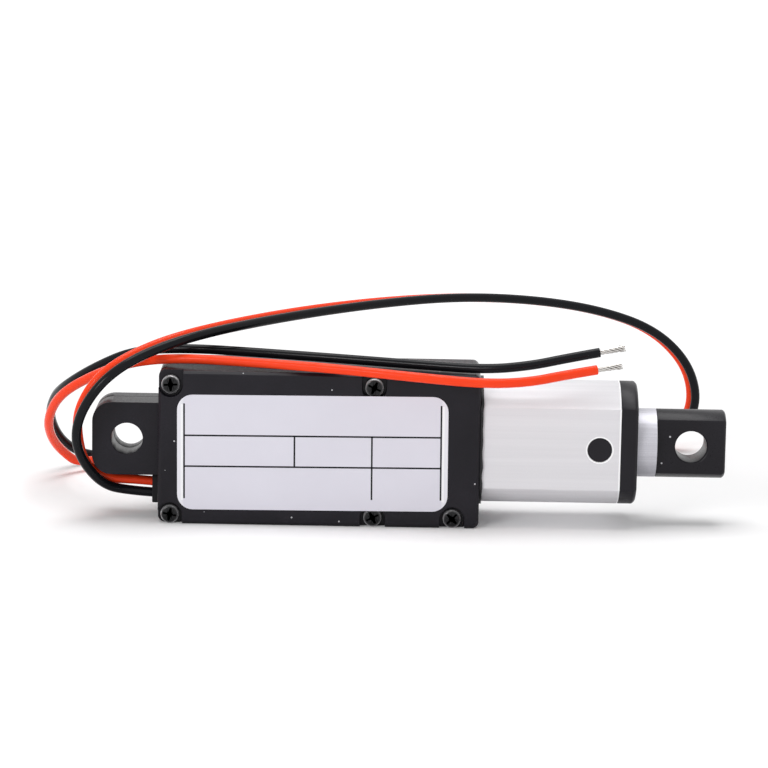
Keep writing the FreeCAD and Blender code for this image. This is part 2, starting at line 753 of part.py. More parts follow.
def bearing_ball(number):
    """One ball between the rings, lofted through polygons so that it has few faces."""
    radius = f"(({OUTER_RING_BORE} - {RING_OUTER}) / 2 - sizes.fit)"
    turn = 360 * number / BALL_COUNT
    rings = []
    for latitude in BALL_RINGS:
        ring = doc.addObject("Part::RegularPolygon", f"ball_{number + 1}_ring")
        ring.Polygon = BALL_SIDES
        ring.Placement.Rotation = FreeCAD.Rotation(Vector(0, 0, 1), ALONG_X)
        middle = f"({BEARING_REAR} + {BEARING_FRONT}) / 2"
        ring.setExpression("Circumradius", f"{radius} * cos({latitude} deg)")
        ring.setExpression("Placement.Base.x", f"{middle} + {radius} * sin({latitude} deg)")
        ring.setExpression("Placement.Base.y", f"{BALL_CIRCLE} * cos({turn} deg)")
        ring.setExpression("Placement.Base.z", f"{BALL_CIRCLE} * sin({turn} deg)")
        rings.append(ring)
    ball = doc.addObject("Part::Loft", f"ball_{number + 1}")
    ball.Sections = rings
    ball.Solid = True
    ball.Ruled = True
    return ball


def bearing_holder():
    """A plug in the tube's rear end that seats the bearing against a lip."""
    body = new_body("bearing_holder")
    sketch = across(body, TUBE_START)
    flatted_circle(sketch, PLUG_RADIUS, PLUG_FLATS)
    pad(body, sketch, "sizes.holder_length")
    sketch = across(body, TUBE_START)
    bored(sketch, "0", "0", "sizes.bearing_radius + sizes.fit")
    pocket(body, sketch, "sizes.holder_length - sizes.holder_lip")
    sketch = across(body, BEARING_FRONT)
    bored(sketch, "0", "0", OUTER_RING_BORE)
    pocket(body, sketch, "sizes.holder_lip")


# Motor
def motor():
    """A flatted motor: steel can with a blind bore for its shaft, end bell and two terminals."""
    can = new_body("motor_can")
    sketch = across(can, CAN_REAR)
    flatted_circle(sketch, "sizes.motor_radius", "sizes.motor_flats")
    pad(can, sketch, "sizes.can_length")
    sketch = across(can, f"{GEARBOX_REAR} - sizes.motor_shaft_depth - sizes.moving_gap")
    small_round(sketch, "0", "0", "sizes.motor_shaft_radius + sizes.running")
    pocket(can, sketch, "sizes.motor_shaft_depth + sizes.moving_gap")

    bell = new_body("motor_end_bell")
    sketch = across(bell, MOTOR_REAR)
    flatted_circle(
        sketch,
        "(sizes.motor_radius - sizes.moving_gap)",
        "(sizes.motor_flats - 2 * sizes.moving_gap)",
    )
    pad(bell, sketch, "sizes.end_bell_width")

    terminals = [
        block(
            name,
            f"{MOTOR_REAR} - sizes.terminal_room / 2",
            "-sizes.terminal_width / 2",
            f"{side} * sizes.terminal_spread - sizes.terminal_thickness / 2",
            "sizes.terminal_room / 2",
            "sizes.terminal_width",
            "sizes.terminal_thickness",
        )
        for name, side in (("upper_terminal", 1), ("lower_terminal", -1))
    ]
    keep(joined("motor_terminals", "Compound", terminals), "motor_terminals")
    shaft_start = f"({GEARBOX_REAR} - sizes.motor_shaft_depth)"
    shaft_end = f"({GEARS_REAR} + {STAGE})"
    plain_round("motor_shaft", "sizes.motor_shaft_radius", shaft_start, shaft_end, outline=small_round)


# Gear train: four meshes of one pinion and one wheel, all at the same centre distance
def tooth_gap(teeth, shift):
    """Half of an involute tooth gap of module 1: radii with half angles from the root to the tip."""
    pitch = teeth / 2
    base = pitch * math.cos(PRESSURE_ANGLE)
    slack = value("sizes.gear_backlash / sizes.gear_module") / 2

    def involute(angle):
        return math.tan(angle) - angle

    def half_gap(radius):
        flank = involute(math.acos(base / max(radius, base)))
        half_tooth = (math.pi / 2 + 2 * shift * math.tan(PRESSURE_ANGLE)) / teeth
        return math.pi / teeth - half_tooth - involute(PRESSURE_ANGLE) + flank + slack / pitch

    root = pitch + shift - value("sizes.tooth_dedendum")
    tip = pitch + shift + value("sizes.tooth_addendum")
    foot = max(root, base)
    radii = [foot + (tip - foot) * step / FLANK_STEPS for step in range(FLANK_STEPS + 1)]
    if root < foot:
        radii.insert(0, root)
    return [(radius, half_gap(radius)) for radius in radii]


def toothed(body, teeth, shift, start, width, tooth_angle):
    """Adds a toothed disc on the body's own X axis, with a tooth at the given angle."""
    flank = tooth_gap(teeth, shift)
    tip, mouth = flank[-1]
    # The blank has a corner on each tooth and one in each gap, where it is cut away
    step = math.pi / teeth
    angles = [tooth_angle + corner * step for corner in range(2 * teeth)]
    rim = [(tip * math.cos(angle), tip * math.sin(angle)) for angle in angles]
    sketch = across(body, start)
    polygon(sketch, [(f"{y:.6f} * sizes.gear_module", f"{z:.6f} * sizes.gear_module") for y, z in rim])
    pad(body, sketch, width)
    middle = tooth_angle + step
    reach = [*flank, (GAP_REACH * tip, mouth)]
    outline = [(radius, middle - angle) for radius, angle in reversed(reach)]
    outline += [(radius, middle + angle) for radius, angle in reach]
    corners = [(radius * math.cos(angle), radius * math.sin(angle)) for radius, angle in outline]
    sketch = across(body, start)
    polygon(sketch, [(f"{y} * sizes.gear_module", f"{z} * sizes.gear_module") for y, z in corners])
    cut = pocket(body, sketch, width)
    pattern = body.newObject("PartDesign::PolarPattern", "teeth")
    pattern.Originals = [cut]
    pattern.Axis = (origin_part(body, "X_Axis"), [""])
    pattern.Angle = 360
    pattern.Occurrences = teeth
    body.Tip = pattern
    doc.recompute()


UP = math.pi / 2


def gear(label, stage, wheel_faces_up, pinion, bore, on_pin):
    """A wheel at the given stage, with or without the pinion of the next stage fixed to its front."""
    body = new_body(label)
    wheel = int(value(WHEEL_TEETH))
    small = int(value(PINION_TEETH))
    shift = value("sizes.tooth_shift")
    facing = UP if wheel_faces_up else -UP
    # The wheel has a gap, and the pinion a tooth, on the line to its partner
    toothed(body, wheel, -shift, "0", "sizes.gear_width", facing + math.pi / wheel)
    length = "sizes.gear_width"
    if pinion:
        toothed(body, small, shift, "sizes.gear_width", STAGE, facing)
        length = f"(sizes.gear_width + {STAGE})"
    sketch = across(body)
    small_round(sketch, "0", "0", bore)
    pocket(body, sketch, length)
    body.setExpression("Placement.Base.x", f"{GEARS_REAR} + sizes.gear_space + {stage} * {STAGE}")
    if on_pin:
        body.setExpression("Placement.Base.z", GEAR_CENTRES)
    return body


def gear_train():
    """The motor's pinion and the three reductions that follow it to the output wheel."""
    pinion = new_body("motor_pinion")
    toothed(pinion, int(value(PINION_TEETH)), value("sizes.tooth_shift"), "0", "sizes.gear_width", UP)
    sketch = across(pinion)
    small_round(sketch, "0", "0", "sizes.motor_shaft_radius + sizes.fit")
    pocket(pinion, sketch, "sizes.gear_width")
    pinion.setExpression("Placement.Base.x", f"{GEARS_REAR} + sizes.gear_space")

    free = "sizes.gear_pin_radius + sizes.running"
    gear("first_idler_gear", 0, False, True, free, True)
    gear("middle_gear", 1, True, True, free, False)
    gear("second_idler_gear", 2, False, True, free, True)
    gear("output_gear", 3, True, False, "sizes.gear_pin_radius + sizes.fit", False)

    shaft = new_body("output_shaft")
    sketch = across(shaft, f"{GEARS_REAR} + sizes.gear_space + {STAGE} + sizes.fit")
    small_round(sketch, "0", "0", "sizes.gear_pin_radius")
    pad(shaft, sketch, f"3 * {STAGE} - sizes.gear_space")
    sketch = across(shaft, f"{GEARS_FRONT} - sizes.gear_space + sizes.fit")
    turned(sketch, "0", "0", "sizes.output_radius")
    pad(shaft, sketch, f"{OUTPUT_END} - {GEARS_FRONT} + sizes.gear_space - sizes.fit")


def gearbox_frame():
    """Two brass plates, the pin that carries the idler gears and two posts."""
    for label, start, outline, hole in (
        ("gearbox_rear_plate", GEARBOX_REAR, small_round, "sizes.motor_shaft_radius + sizes.slide_gap"),
        ("gearbox_front_plate", GEARS_FRONT, bored, "sizes.output_radius + sizes.running"),
    ):
        plate = new_body(label)
        sketch = across(plate, start)
        flatted_circle(sketch, "sizes.motor_radius", "sizes.motor_flats")
        pad(plate, sketch, "sizes.plate_width")
        sketch = across(plate, start)
        outline(sketch, "0", "0", hole)
        small_round(sketch, "0", GEAR_CENTRES, "sizes.gear_pin_radius + sizes.fit")
        pocket(plate, sketch, "sizes.plate_width")
    length = f"{GEARBOX_FRONT} - {GEARBOX_REAR}"
    pin = bar("pin", ALONG_X, GEARBOX_REAR, "0", GEAR_CENTRES, "sizes.gear_pin_radius", length)
    keep(pin, "idler_pin")
    posts = [
        bar(
            name,
            ALONG_X,
            GEARS_REAR,
            f"{side} * sizes.post_side",
            "-sizes.post_drop",
            "sizes.post_radius",
            f"{GEARS_FRONT} - {GEARS_REAR}",
        )
        for name, side in (("front_post", -1), ("back_post", 1))
    ]
    keep(joined("gearbox_posts", "Compound", posts), "gearbox_posts")


# Limit switches: one at each end of the nut's travel, on a board along the tube's floor
def limit_switches():
    board_start = f"({RETRACT_TIP} - sizes.plunger_reach - sizes.switch_length)"
    diode_start = f"({EXTEND_TIP} + sizes.plunger_reach + sizes.switch_length + sizes.slide_gap)"
    board_end = f"({diode_start} + sizes.diode_length + sizes.slide_gap)"
    board = block(
        "board",
        board_start,
        "-sizes.board_width / 2",
        BOARD_FLOOR,
        f"{board_end} - {board_start}",
        "sizes.board_width",
        "sizes.board_thickness",
    )
    keep(board, "limit_board")
    bodies = []
    for name, start, mouth, inward in (
        ("retract", board_start, f"({RETRACT_TIP} - sizes.plunger_reach)", -1),
        ("extend", f"({EXTEND_TIP} + sizes.plunger_reach)", f"({EXTEND_TIP} + sizes.plunger_reach)", 1),
    ):
        case = block(
            f"{name}_case",
            start,
            "-sizes.switch_width / 2",
            BOARD_TOP,
            "sizes.switch_length",
            "sizes.switch_width",
            "sizes.switch_height",
        )
        depth = "(sizes.plunger_length - sizes.plunger_reach + sizes.plunger_travel + sizes.slide_gap)"
        hole = bar(
            f"{name}_hole",
            ALONG_X,
            f"{mouth} - {depth}" if inward < 0 else mouth,
            "0",
            PLUNGER_HEIGHT,
            "sizes.plunger_radius + sizes.running",
            depth,
        )
        bodies.append(joined(f"{name}_switch", "Cut", [case, hole]))
        tip = RETRACT_TIP if inward < 0 else EXTEND_TIP
        plunger = bar(
            f"{name}_button",
            ALONG_X,
            f"{tip} - sizes.plunger_length" if inward < 0 else tip,
            "0",
            PLUNGER_HEIGHT,
            "sizes.plunger_radius",
            "sizes.plunger_length",
        )
        keep(plunger, f"{name}_plunger")
    keep(joined("switch_cases", "Compound", bodies), "limit_switches")
    diodes = [
        block(
            name,
            diode_start,
            f"{side} * sizes.diode_spread / 2 - sizes.diode_width / 2",
            BOARD_TOP,
            "sizes.diode_length",
            "sizes.diode_width",
            "sizes.diode_height",
        )
        for name, side in (("front_diode", -1), ("back_diode", 1))
    ]
    keep(joined("diodes", "Compound", diodes), "blocking_diodes")


# Leads: the routes of the two leads are chosen by hand, from the grommet to their stripped ends
RED_ROUTE = [
    (3.2, -0.3, -6.2),
    (0.6, -0.3, -6.2),
    (-2.8, -1.0, -5.9),
    (-5.9, -2.8, -3.4),
    (-7.0, -4.6, 0.4),
    (-6.9, -6.2, 4.1),
    (-4.4, -6.4, 8.2),
    (-0.2, -4.9, 11.4),
    (6.6, -0.8, 14.1),
    (18.0, 9.9, 15.6),
    (30.1, 21.0, 15.6),
    (42.2, 30.6, 15.0),
    (53.3, 38.0, 13.3),
    (62.9, 43.6, 10.5),
    (70.6, 46.7, 6.9),
    (75.4, 48.4, 2.6),
    (77.1, 49.4, -2.2),
    (76.1, 50.0, -6.5),
    (72.6, 49.9, -9.2),
    (65.6, 49.1, -9.85),
    (51.8, 47.7, -9.85),
    (33.8, 46.3, -9.85),
    (15.6, 43.7, -9.85),
    (1.2, 40.0, -9.85),
    (-7.8, 34.8, -9.4),
    (-12.2, 28.6, -7.4),
    (-13.6, 22.0, -4.2),
    (-12.6, 15.6, -0.6),
    (-9.6, 9.8, 3.2),
    (-5.0, 4.4, 6.9),
    (0.2, -0.6, 9.5),
    (6.5, -3.6, 10.7),
    (16.0, -5.0, 10.5),
    (27.0, -7.0, 10.2),
    (37.5, -9.4, 9.65),
    (46.0, -10.6, 9.2),
    (51.5, -10.4, 9.5),
    (56.0, -9.4, 10.3),
    (60.2, -8.4, 10.9),
]
BLACK_ROUTE = [
    (3.2, -0.7, -7.6),
    (0.5, -0.7, -7.6),
    (-3.0, -2.5, -6.5),
    (-5.6, -5.0, -3.0),
    (-6.5, -7.0, 0.8),
    (-5.4, -8.0, 4.7),
    (-2.4, -8.2, 8.8),
    (2.2, -6.5, 11.9),
    (9.0, -2.0, 14.0),
    (19.0, 9.0, 14.7),
    (31.0, 20.0, 14.8),
    (43.0, 29.5, 14.3),
    (54.0, 36.8, 12.8),
    (63.5, 42.2, 10.2),
    (71.2, 45.2, 7.0),
    (76.1, 47.0, 3.0),
    (78.1, 48.0, -2.0),
    (77.1, 48.4, -6.4),
    (73.4, 48.2, -9.2),
    (66.0, 47.4, -9.85),
    (52.0, 46.0, -9.85),
    (34.0, 44.6, -9.85),
    (16.0, 42.0, -9.85),
    (2.0, 38.4, -9.85),
    (-6.5, 33.4, -9.2),
    (-10.6, 28.0, -6.4),
    (-12.4, 22.4, -2.4),
    (-12.4, 17.0, 1.6),
    (-10.0, 12.2, 5.2),
    (-5.6, 8.6, 8.0),
    (0.2, 5.8, 10.0),
    (7.5, 3.6, 10.8),
    (17.5, 2.4, 10.5),
    (28.5, 0.2, 10.25),
    (38.5, -3.2, 10.2),
    (46.3, -5.6, 10.2),
    (52.0, -6.0, 10.9),
    (56.4, -5.4, 11.8),
    (60.7, -4.8, 12.55),
]


ARC_SHARE = 0.45


def lead_wire(label, route):
    """A lead's insulation: straight runs joined by the largest tangent arcs that fit."""
    points = [Vector(*point) for point in route]
    edges = []
    start = points[0]
    for before, corner, after in zip(points, points[1:], points[2:]):
        back = (before - corner).normalize()
        ahead = (after - corner).normalize()
        trim = ARC_SHARE * min((before - corner).Length, (after - corner).Length)
        half_turn = (math.pi - back.getAngle(ahead)) / 2
        radius = trim / math.tan(half_turn)
        first = corner + back * trim
        last = corner + ahead * trim
        inward = (back + ahead).normalize()
        middle = corner + inward * (radius / math.cos(half_turn) - radius)
        edges.append(Part.LineSegment(start, first).toShape())
        edges.append(Part.Arc(first, middle, last).toShape())
        start = last
    edges.append(Part.LineSegment(start, points[-1]).toShape())
    path = Part.Wire(edges)
    size = value("sizes.wire_radius")
    corners = [
        FreeCAD.Rotation(ALONG_Z, 360 * number / WIRE_SIDES).multVec(Vector(size, 0, 0))
        for number in range(WIRE_SIDES)
    ]
    ring = Part.makePolygon([*corners, corners[0]])
    ring.Placement = FreeCAD.Placement(points[0], FreeCAD.Rotation(ALONG_Z, points[1] - points[0]))
    wire = doc.addObject("Part::Feature", label)
    wire.Shape = path.makePipeShell([ring], True, False)
    share = wire.Shape.Volume / (Part.Face(ring).Area * path.Length)
    print(f"{label}: length {path.Length:.1f}, volume {share:.4f} of section times length")
    keep(wire, label)


def wire_tips():
    """The stripped strands at the far end of each lead."""
    tips = []
    for name, route in (("red", RED_ROUTE), ("black", BLACK_ROUTE)):
        before, end = (Vector(*point) for point in route[-2:])
        tip = doc.addObject("Part::Prism", f"{name}_tip")
        tip.Polygon = WIRE_SIDES
        tip.setExpression("Circumradius", "sizes.strand_radius")
        tip.setExpression("Height", "sizes.strand_length")
        tip.Placement = FreeCAD.Placement(end, FreeCAD.Rotation(Vector(0, 0, 1), end - before))
        tips.append(tip)
    keep(joined("tips", "Compound", tips), "wire_tips")


shell("front_shell", front=True)
shell("rear_shell", front=False)
cover_screws()
wire_grommet()
guide_tube()
tube_sealant()
front_cap()
rod_wiper()
push_rod()
rod_end()
drive_nut()
lead_screw()
shaft_coupling()
screw_bearing()
bearing_holder()
motor()
gear_train()
gearbox_frame()
limit_switches()
lead_wire("red_wire", RED_ROUTE)
lead_wire("black_wire", BLACK_ROUTE)
wire_tips()
doc.recompute()

for item in doc.Objects:
    if "Invalid" in item.State or "Error" in item.State:
        raise ValueError(f"{item.Label} failed: {item.State}")
for piece in nodes:
    if piece.Shape.isNull() or not piece.Shape.isValid():
        raise ValueError(f"{piece.Label} has no valid shape")

os.makedirs("parts", exist_ok=True)
for piece in nodes:
    piece.Shape.exportStep(f"parts/{piece.Label}.step")
print(f"{len(nodes)} sub-parts written")
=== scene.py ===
import math

import bmesh
import bpy
from mathutils import Matrix, Quaternion, Vector, noise


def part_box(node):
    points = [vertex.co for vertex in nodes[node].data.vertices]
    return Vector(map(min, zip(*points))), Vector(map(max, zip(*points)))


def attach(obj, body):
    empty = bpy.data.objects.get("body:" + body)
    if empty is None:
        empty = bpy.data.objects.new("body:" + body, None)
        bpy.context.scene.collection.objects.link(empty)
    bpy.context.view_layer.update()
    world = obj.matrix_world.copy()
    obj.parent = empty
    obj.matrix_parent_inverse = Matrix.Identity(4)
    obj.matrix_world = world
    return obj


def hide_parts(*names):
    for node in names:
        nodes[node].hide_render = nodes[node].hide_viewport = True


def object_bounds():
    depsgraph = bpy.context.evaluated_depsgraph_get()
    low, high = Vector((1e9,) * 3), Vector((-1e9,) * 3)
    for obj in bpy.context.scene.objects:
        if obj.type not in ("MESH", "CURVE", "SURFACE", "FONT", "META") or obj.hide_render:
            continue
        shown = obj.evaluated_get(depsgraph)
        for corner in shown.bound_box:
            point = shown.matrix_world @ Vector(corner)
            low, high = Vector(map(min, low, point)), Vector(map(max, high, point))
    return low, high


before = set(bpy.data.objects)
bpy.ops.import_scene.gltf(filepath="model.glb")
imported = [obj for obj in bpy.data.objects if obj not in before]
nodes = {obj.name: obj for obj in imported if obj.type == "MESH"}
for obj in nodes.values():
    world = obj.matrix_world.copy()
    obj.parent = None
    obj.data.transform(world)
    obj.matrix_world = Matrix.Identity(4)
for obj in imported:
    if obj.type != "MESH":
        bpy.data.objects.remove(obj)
cad_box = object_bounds()
MM = 0.001


# Moulded shells
# The housing and its rear eye are two halves moulded in black filled nylon, screwed together from the
# front. The mould leaves a fine satin grain and slightly broken edges, and pale dust clings to it.
WELD_DISTANCE = 0.002 * MM
FLAT_ANGLE = math.radians(1)
EDGE_ANGLE = math.radians(30)
DUST_SCALE = 800.0
DUST_SIZE = 0.13
DUST_COLOUR = (0.5, 0.5, 0.52, 1)


def place(tree, kind, options=None, feeds=None):
    """Adds a node to a tree, sets its options and feeds its inputs from numbers or other sockets."""
    node = tree.nodes.new(f"ShaderNode{kind}")
    for option, choice in (options or {}).items():
        setattr(node, option, choice)
    for label, source in (feeds or {}).items():
        if isinstance(source, bpy.types.NodeSocket):
            tree.links.new(source, node.inputs[label])
        else:
            node.inputs[label].default_value = source
    return node


def calc(tree, operation, *values):
    """One step of arithmetic on numbers or sockets."""
    return place(tree, "Math", {"operation": operation}, dict(enumerate(values))).outputs["Value"]


def remap(tree, value, start=(0, 1), end=(0, 1)):
    """Stretches a value from one span to another, and keeps it inside."""
    limits = {"From Min": start[0], "From Max": start[1], "To Min": end[0], "To Max": end[1]}
    return place(tree, "MapRange", feeds={"Value": value, **limits}).outputs["Result"]


def blend(tree, share, first, second):
    """Mixes two colours."""
    feeds = {"Factor": share, "A": first, "B": second}
    return place(tree, "Mix", {"data_type": "RGBA"}, feeds).outputs["Result"]


def patchy(tree, where, scale, detail):
    """Soft random patches."""
    feeds = {"Vector": where, "Scale": scale, "Detail": detail}
    return place(tree, "TexNoise", feeds=feeds).outputs["Fac"]


def effect(name, inputs, outputs):
    """A shader node group with named sockets: returns it with its input and output nodes."""
    group = bpy.data.node_groups.new(name, "ShaderNodeTree")
    for label, kind in inputs.items():
        group.interface.new_socket(label, in_out="INPUT", socket_type=f"NodeSocket{kind}")
    for label, kind in outputs.items():
        group.interface.new_socket(label, in_out="OUTPUT", socket_type=f"NodeSocket{kind}")
    return group, group.nodes.new("NodeGroupInput").outputs, group.nodes.new("NodeGroupOutput").inputs


def grain_and_sheen_effect():
    """Satin grain of a moulded surface, with a painted sheen that makes it a little paler in broad patches.
    """
    group, given, result = effect(
        "moulded_grain_and_sheen",
        {
            "Vector": "Vector",
            "Dark": "Color",
            "Pale": "Color",
            "Grain": "Float",
            "Smooth": "Float",
            "Rough": "Float",
        },
        {"Colour": "Color", "Roughness": "Float", "Height": "Float"},
    )
    fine = patchy(group, given["Vector"], given["Grain"], detail=3.0)
    broad = patchy(group, given["Vector"], scale=110.0, detail=4.0)
    # Painted sheen: the colour turns towards the pale tone in broad patches; the fine grain under them is the
    # surface's own
    share = calc(group, "MULTIPLY", remap(group, broad, start=(0.35, 0.7)), fine)
    group.links.new(blend(group, share, given["Dark"], given["Pale"]), result["Colour"])
    rough = remap(group, fine, start=(0.3, 0.7), end=(given["Smooth"], given["Rough"]))
    group.links.new(rough, result["Roughness"])
    group.links.new(fine, result["Height"])
    return group


def dust_effect():
    """Sparse pale specks: small dots in a few of the cells of a Voronoi pattern."""
    group, given, result = effect(
        "dust", {"Vector": "Vector", "Scale": "Float", "Share": "Float", "Size": "Float"}, {"Mask": "Float"}
    )
    cells = place(group, "TexVoronoi", feeds={"Vector": given["Vector"], "Scale": given["Scale"]})
    random = place(group, "SeparateColor", feeds={"Color": cells.outputs["Color"]})
    chosen = calc(group, "LESS_THAN", random.outputs["Red"], given["Share"])
    size = calc(group, "MULTIPLY", random.outputs["Green"], given["Size"])
    dot = calc(group, "LESS_THAN", cells.outputs["Distance"], size)
    group.links.new(calc(group, "MULTIPLY", chosen, dot), result["Mask"])
    return group


GRAIN_AND_SHEEN = grain_and_sheen_effect()
DUST = dust_effect()


def finish(name):
    """A new material: returns it with its node tree, its shader and its Object coordinates."""
    material = bpy.data.materials.new(name)
    material.use_nodes = True
    tree = material.node_tree
    return material, tree, tree.nodes["Principled BSDF"], place(tree, "TexCoord").outputs["Object"]


def bumped(tree, shader, height, depth):
    """Feeds a height to the shader's normal."""
    bump = place(tree, "Bump", feeds={"Height": height, "Distance": depth, "Strength": 1.0})
    tree.links.new(bump.outputs["Normal"], shader.inputs["Normal"])


def moulded_plastic(name, dark, pale, grain, smooth, rough, depth, dusty):
    """Black moulded plastic with its grain, a painted sheen in broad patches and a little dust."""
    material, tree, shader, where = finish(name)
    skin = place(
        tree,
        "Group",
        {"node_tree": GRAIN_AND_SHEEN},
        {"Vector": where, "Dark": dark, "Pale": pale, "Grain": grain, "Smooth": smooth, "Rough": rough},
    )
    specks = place(
        tree,
        "Group",
        {"node_tree": DUST},
        {"Vector": where, "Scale": DUST_SCALE, "Share": dusty, "Size": DUST_SIZE},
    )
    colour = blend(tree, specks.outputs["Mask"], skin.outputs["Colour"], DUST_COLOUR)
    tree.links.new(colour, shader.inputs["Base Color"])
    tree.links.new(skin.outputs["Roughness"], shader.inputs["Roughness"])
    shader.inputs["Specular IOR Level"].default_value = 0.2
    bumped(tree, shader, skin.outputs["Height"], depth)
    return material


def dress(node, material):
    """Gives a CAD node its finish."""
    data = nodes[node].data
    data.materials.clear()
    data.materials.append(material)


def soften(node, width, steps):
    """Breaks the sharp edges of a CAD node: its faces are joined up first, then bevelled."""
    piece = nodes[node]
    weld = piece.modifiers.new("joined", "WELD")
    weld.merge_threshold = WELD_DISTANCE
    flat = piece.modifiers.new("flat_faces", "DECIMATE")
    flat.decimate_type = "DISSOLVE"
    flat.angle_limit = FLAT_ANGLE
    edge = piece.modifiers.new("broken_edges", "BEVEL")
    edge.width = width
    edge.segments = steps
    edge.limit_method = "ANGLE"
    edge.angle_limit = EDGE_ANGLE
    edge.use_clamp_overlap = False
    edge.harden_normals = True


housing_plastic = moulded_plastic(
    "housing_plastic",
    dark=(0.0066, 0.0056, 0.0088, 1),
    pale=(0.0175, 0.0155, 0.022, 1),
    grain=5200.0,
    smooth=0.28,
    rough=0.42,
    depth=0.012 * MM,
    dusty=0.22,
)
# The rear notches leave almost no wall in the front shell, so its edges are broken less
for half, broken_edge in (("front_shell", 0.08 * MM), ("rear_shell", 0.2 * MM)):
    dress(half, housing_plastic)
    soften(half, width=broken_edge, steps=2)


# Rating plate
# A silvered film sticker on the front shell, stuck on a touch askew. Its table is ruled in black ink and
# its cells are bare. A painted reflection lies beside each end rule, as a pale line with a paler margin.
PLATE_MIDDLE = (24.08 * MM, -0.92 * MM)
PLATE_SIZE = (34.8 * MM, 15.0 * MM)
PLATE_CORNER = 2.0 * MM
PLATE_CORNER_STEPS = 8
PLATE_EDGE = 0.02 * MM
PLATE_THICKNESS = 0.06 * MM
PLATE_TILT = math.radians(0.45)
RULE_WIDTH = 0.22 * MM
RULE_HEIGHT = 0.012 * MM
RULE_SIDE = 16.5 * MM
RULE_TOP = 6.25 * MM
RULE_BOTTOM = -5.93 * MM
UPPER_RULE = 2.2 * MM
LOWER_RULE = -1.83 * MM
FIRST_DIVIDER = -2.33 * MM
SECOND_DIVIDER = 7.62 * MM
REFLECTION_LINE = 16.78 * MM
REFLECTION_LINE_WIDTH = 0.3 * MM
FILM_DULL = (0.7, 0.685, 0.76, 1)
FILM_BRIGHT = (0.76, 0.745, 0.82, 1)
FILM_REFLECTION = (0.93, 0.93, 0.95, 1)

front_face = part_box("front_shell")[0].y


def shown_piece(name, mesh, material, body):
    """Makes a finished mesh a piece of the object, riding on a CAD body."""
    piece = bpy.data.objects.new(name, mesh)
    bpy.context.scene.collection.objects.link(piece)
    mesh.materials.append(material)
    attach(piece, body)
    return piece


def mesh_of(name, shape, smooth=False):
    """Turns a bmesh into a mesh, with its faces turned outwards."""
    bmesh.ops.recalc_face_normals(shape, faces=shape.faces)
    for face in shape.faces:
        face.smooth = smooth
    mesh = bpy.data.meshes.new(name)
    shape.to_mesh(mesh)
    shape.free()
    return mesh


def on_front(depth):
    """The place of a flat thing, drawn about its own middle, on the front shell."""
    x, z = PLATE_MIDDLE
    stand_up = Matrix.Rotation(math.radians(90), 4, "X")
    return Matrix.Translation((x, front_face - depth, z)) @ Matrix.Rotation(-PLATE_TILT, 4, "Y") @ stand_up


def plate_mesh():
    """The film, with round corners and a soft edge."""
    shape = bmesh.new()
    bmesh.ops.create_grid(shape, x_segments=1, y_segments=1, size=0.5)
    bmesh.ops.scale(shape, vec=(*PLATE_SIZE, 1), verts=shape.verts)
    bmesh.ops.bevel(
        shape,
        geom=shape.verts[:],
        affect="VERTICES",
        offset=PLATE_CORNER,
        offset_type="OFFSET",
        segments=PLATE_CORNER_STEPS,
        profile=0.5,
        material=-1,
    )
    raised = bmesh.ops.extrude_face_region(shape, geom=shape.faces[:])["geom"]
    top = [item for item in raised if isinstance(item, bmesh.types.BMVert)]
    bmesh.ops.translate(shape, vec=(0, 0, PLATE_THICKNESS), verts=top)
    rim = [edge for edge in shape.edges if all(vert in top for vert in edge.verts)]
    bmesh.ops.bevel(
        shape,
        geom=rim,
        affect="EDGES",
        offset=PLATE_EDGE,
        offset_type="OFFSET",
        segments=2,
        profile=0.5,
        material=-1,
    )
    bmesh.ops.transform(shape, matrix=on_front(0), verts=shape.verts)
    return mesh_of("rating_plate", shape)


def plate_film():
    """Silvered film: a soft satin with faint smears, and a painted reflection as a pale line and paler margin
    beside each end of the table.
    """
    material, tree, shader, where = finish("silvered_film")
    smear = patchy(tree, where, scale=140.0, detail=5.0)
    centred = place(
        tree,
        "Mapping",
        {"vector_type": "TEXTURE"},
        {"Vector": where, "Location": (PLATE_MIDDLE[0], 0, PLATE_MIDDLE[1]), "Rotation": (0, -PLATE_TILT, 0)},
    )
    axes = place(tree, "SeparateXYZ", feeds={"Vector": centred.outputs["Vector"]})
    along = calc(tree, "ABSOLUTE", axes.outputs["X"])
    upward = calc(tree, "ABSOLUTE", axes.outputs["Z"])
    # Painted reflection: a pale line beside each end rule, and a margin that grows paler out to it
    in_line = calc(tree, "COMPARE", along, REFLECTION_LINE, REFLECTION_LINE_WIDTH / 2)
    in_reach = calc(tree, "LESS_THAN", upward, RULE_TOP)
    line = calc(tree, "MULTIPLY", in_line, in_reach)
    reflection_margin = remap(tree, along, start=(RULE_SIDE, REFLECTION_LINE), end=(0, 0.45))
    pale = calc(tree, "MAXIMUM", line, reflection_margin)
    film = blend(tree, smear, FILM_DULL, FILM_BRIGHT)
    tree.links.new(blend(tree, pale, film, FILM_REFLECTION), shader.inputs["Base Color"])
    tree.links.new(remap(tree, smear, end=(0.34, 0.5)), shader.inputs["Roughness"])
    shader.inputs["Specular IOR Level"].default_value = 0.3
    bumped(tree, shader, smear, depth=0.004 * MM)
    return material


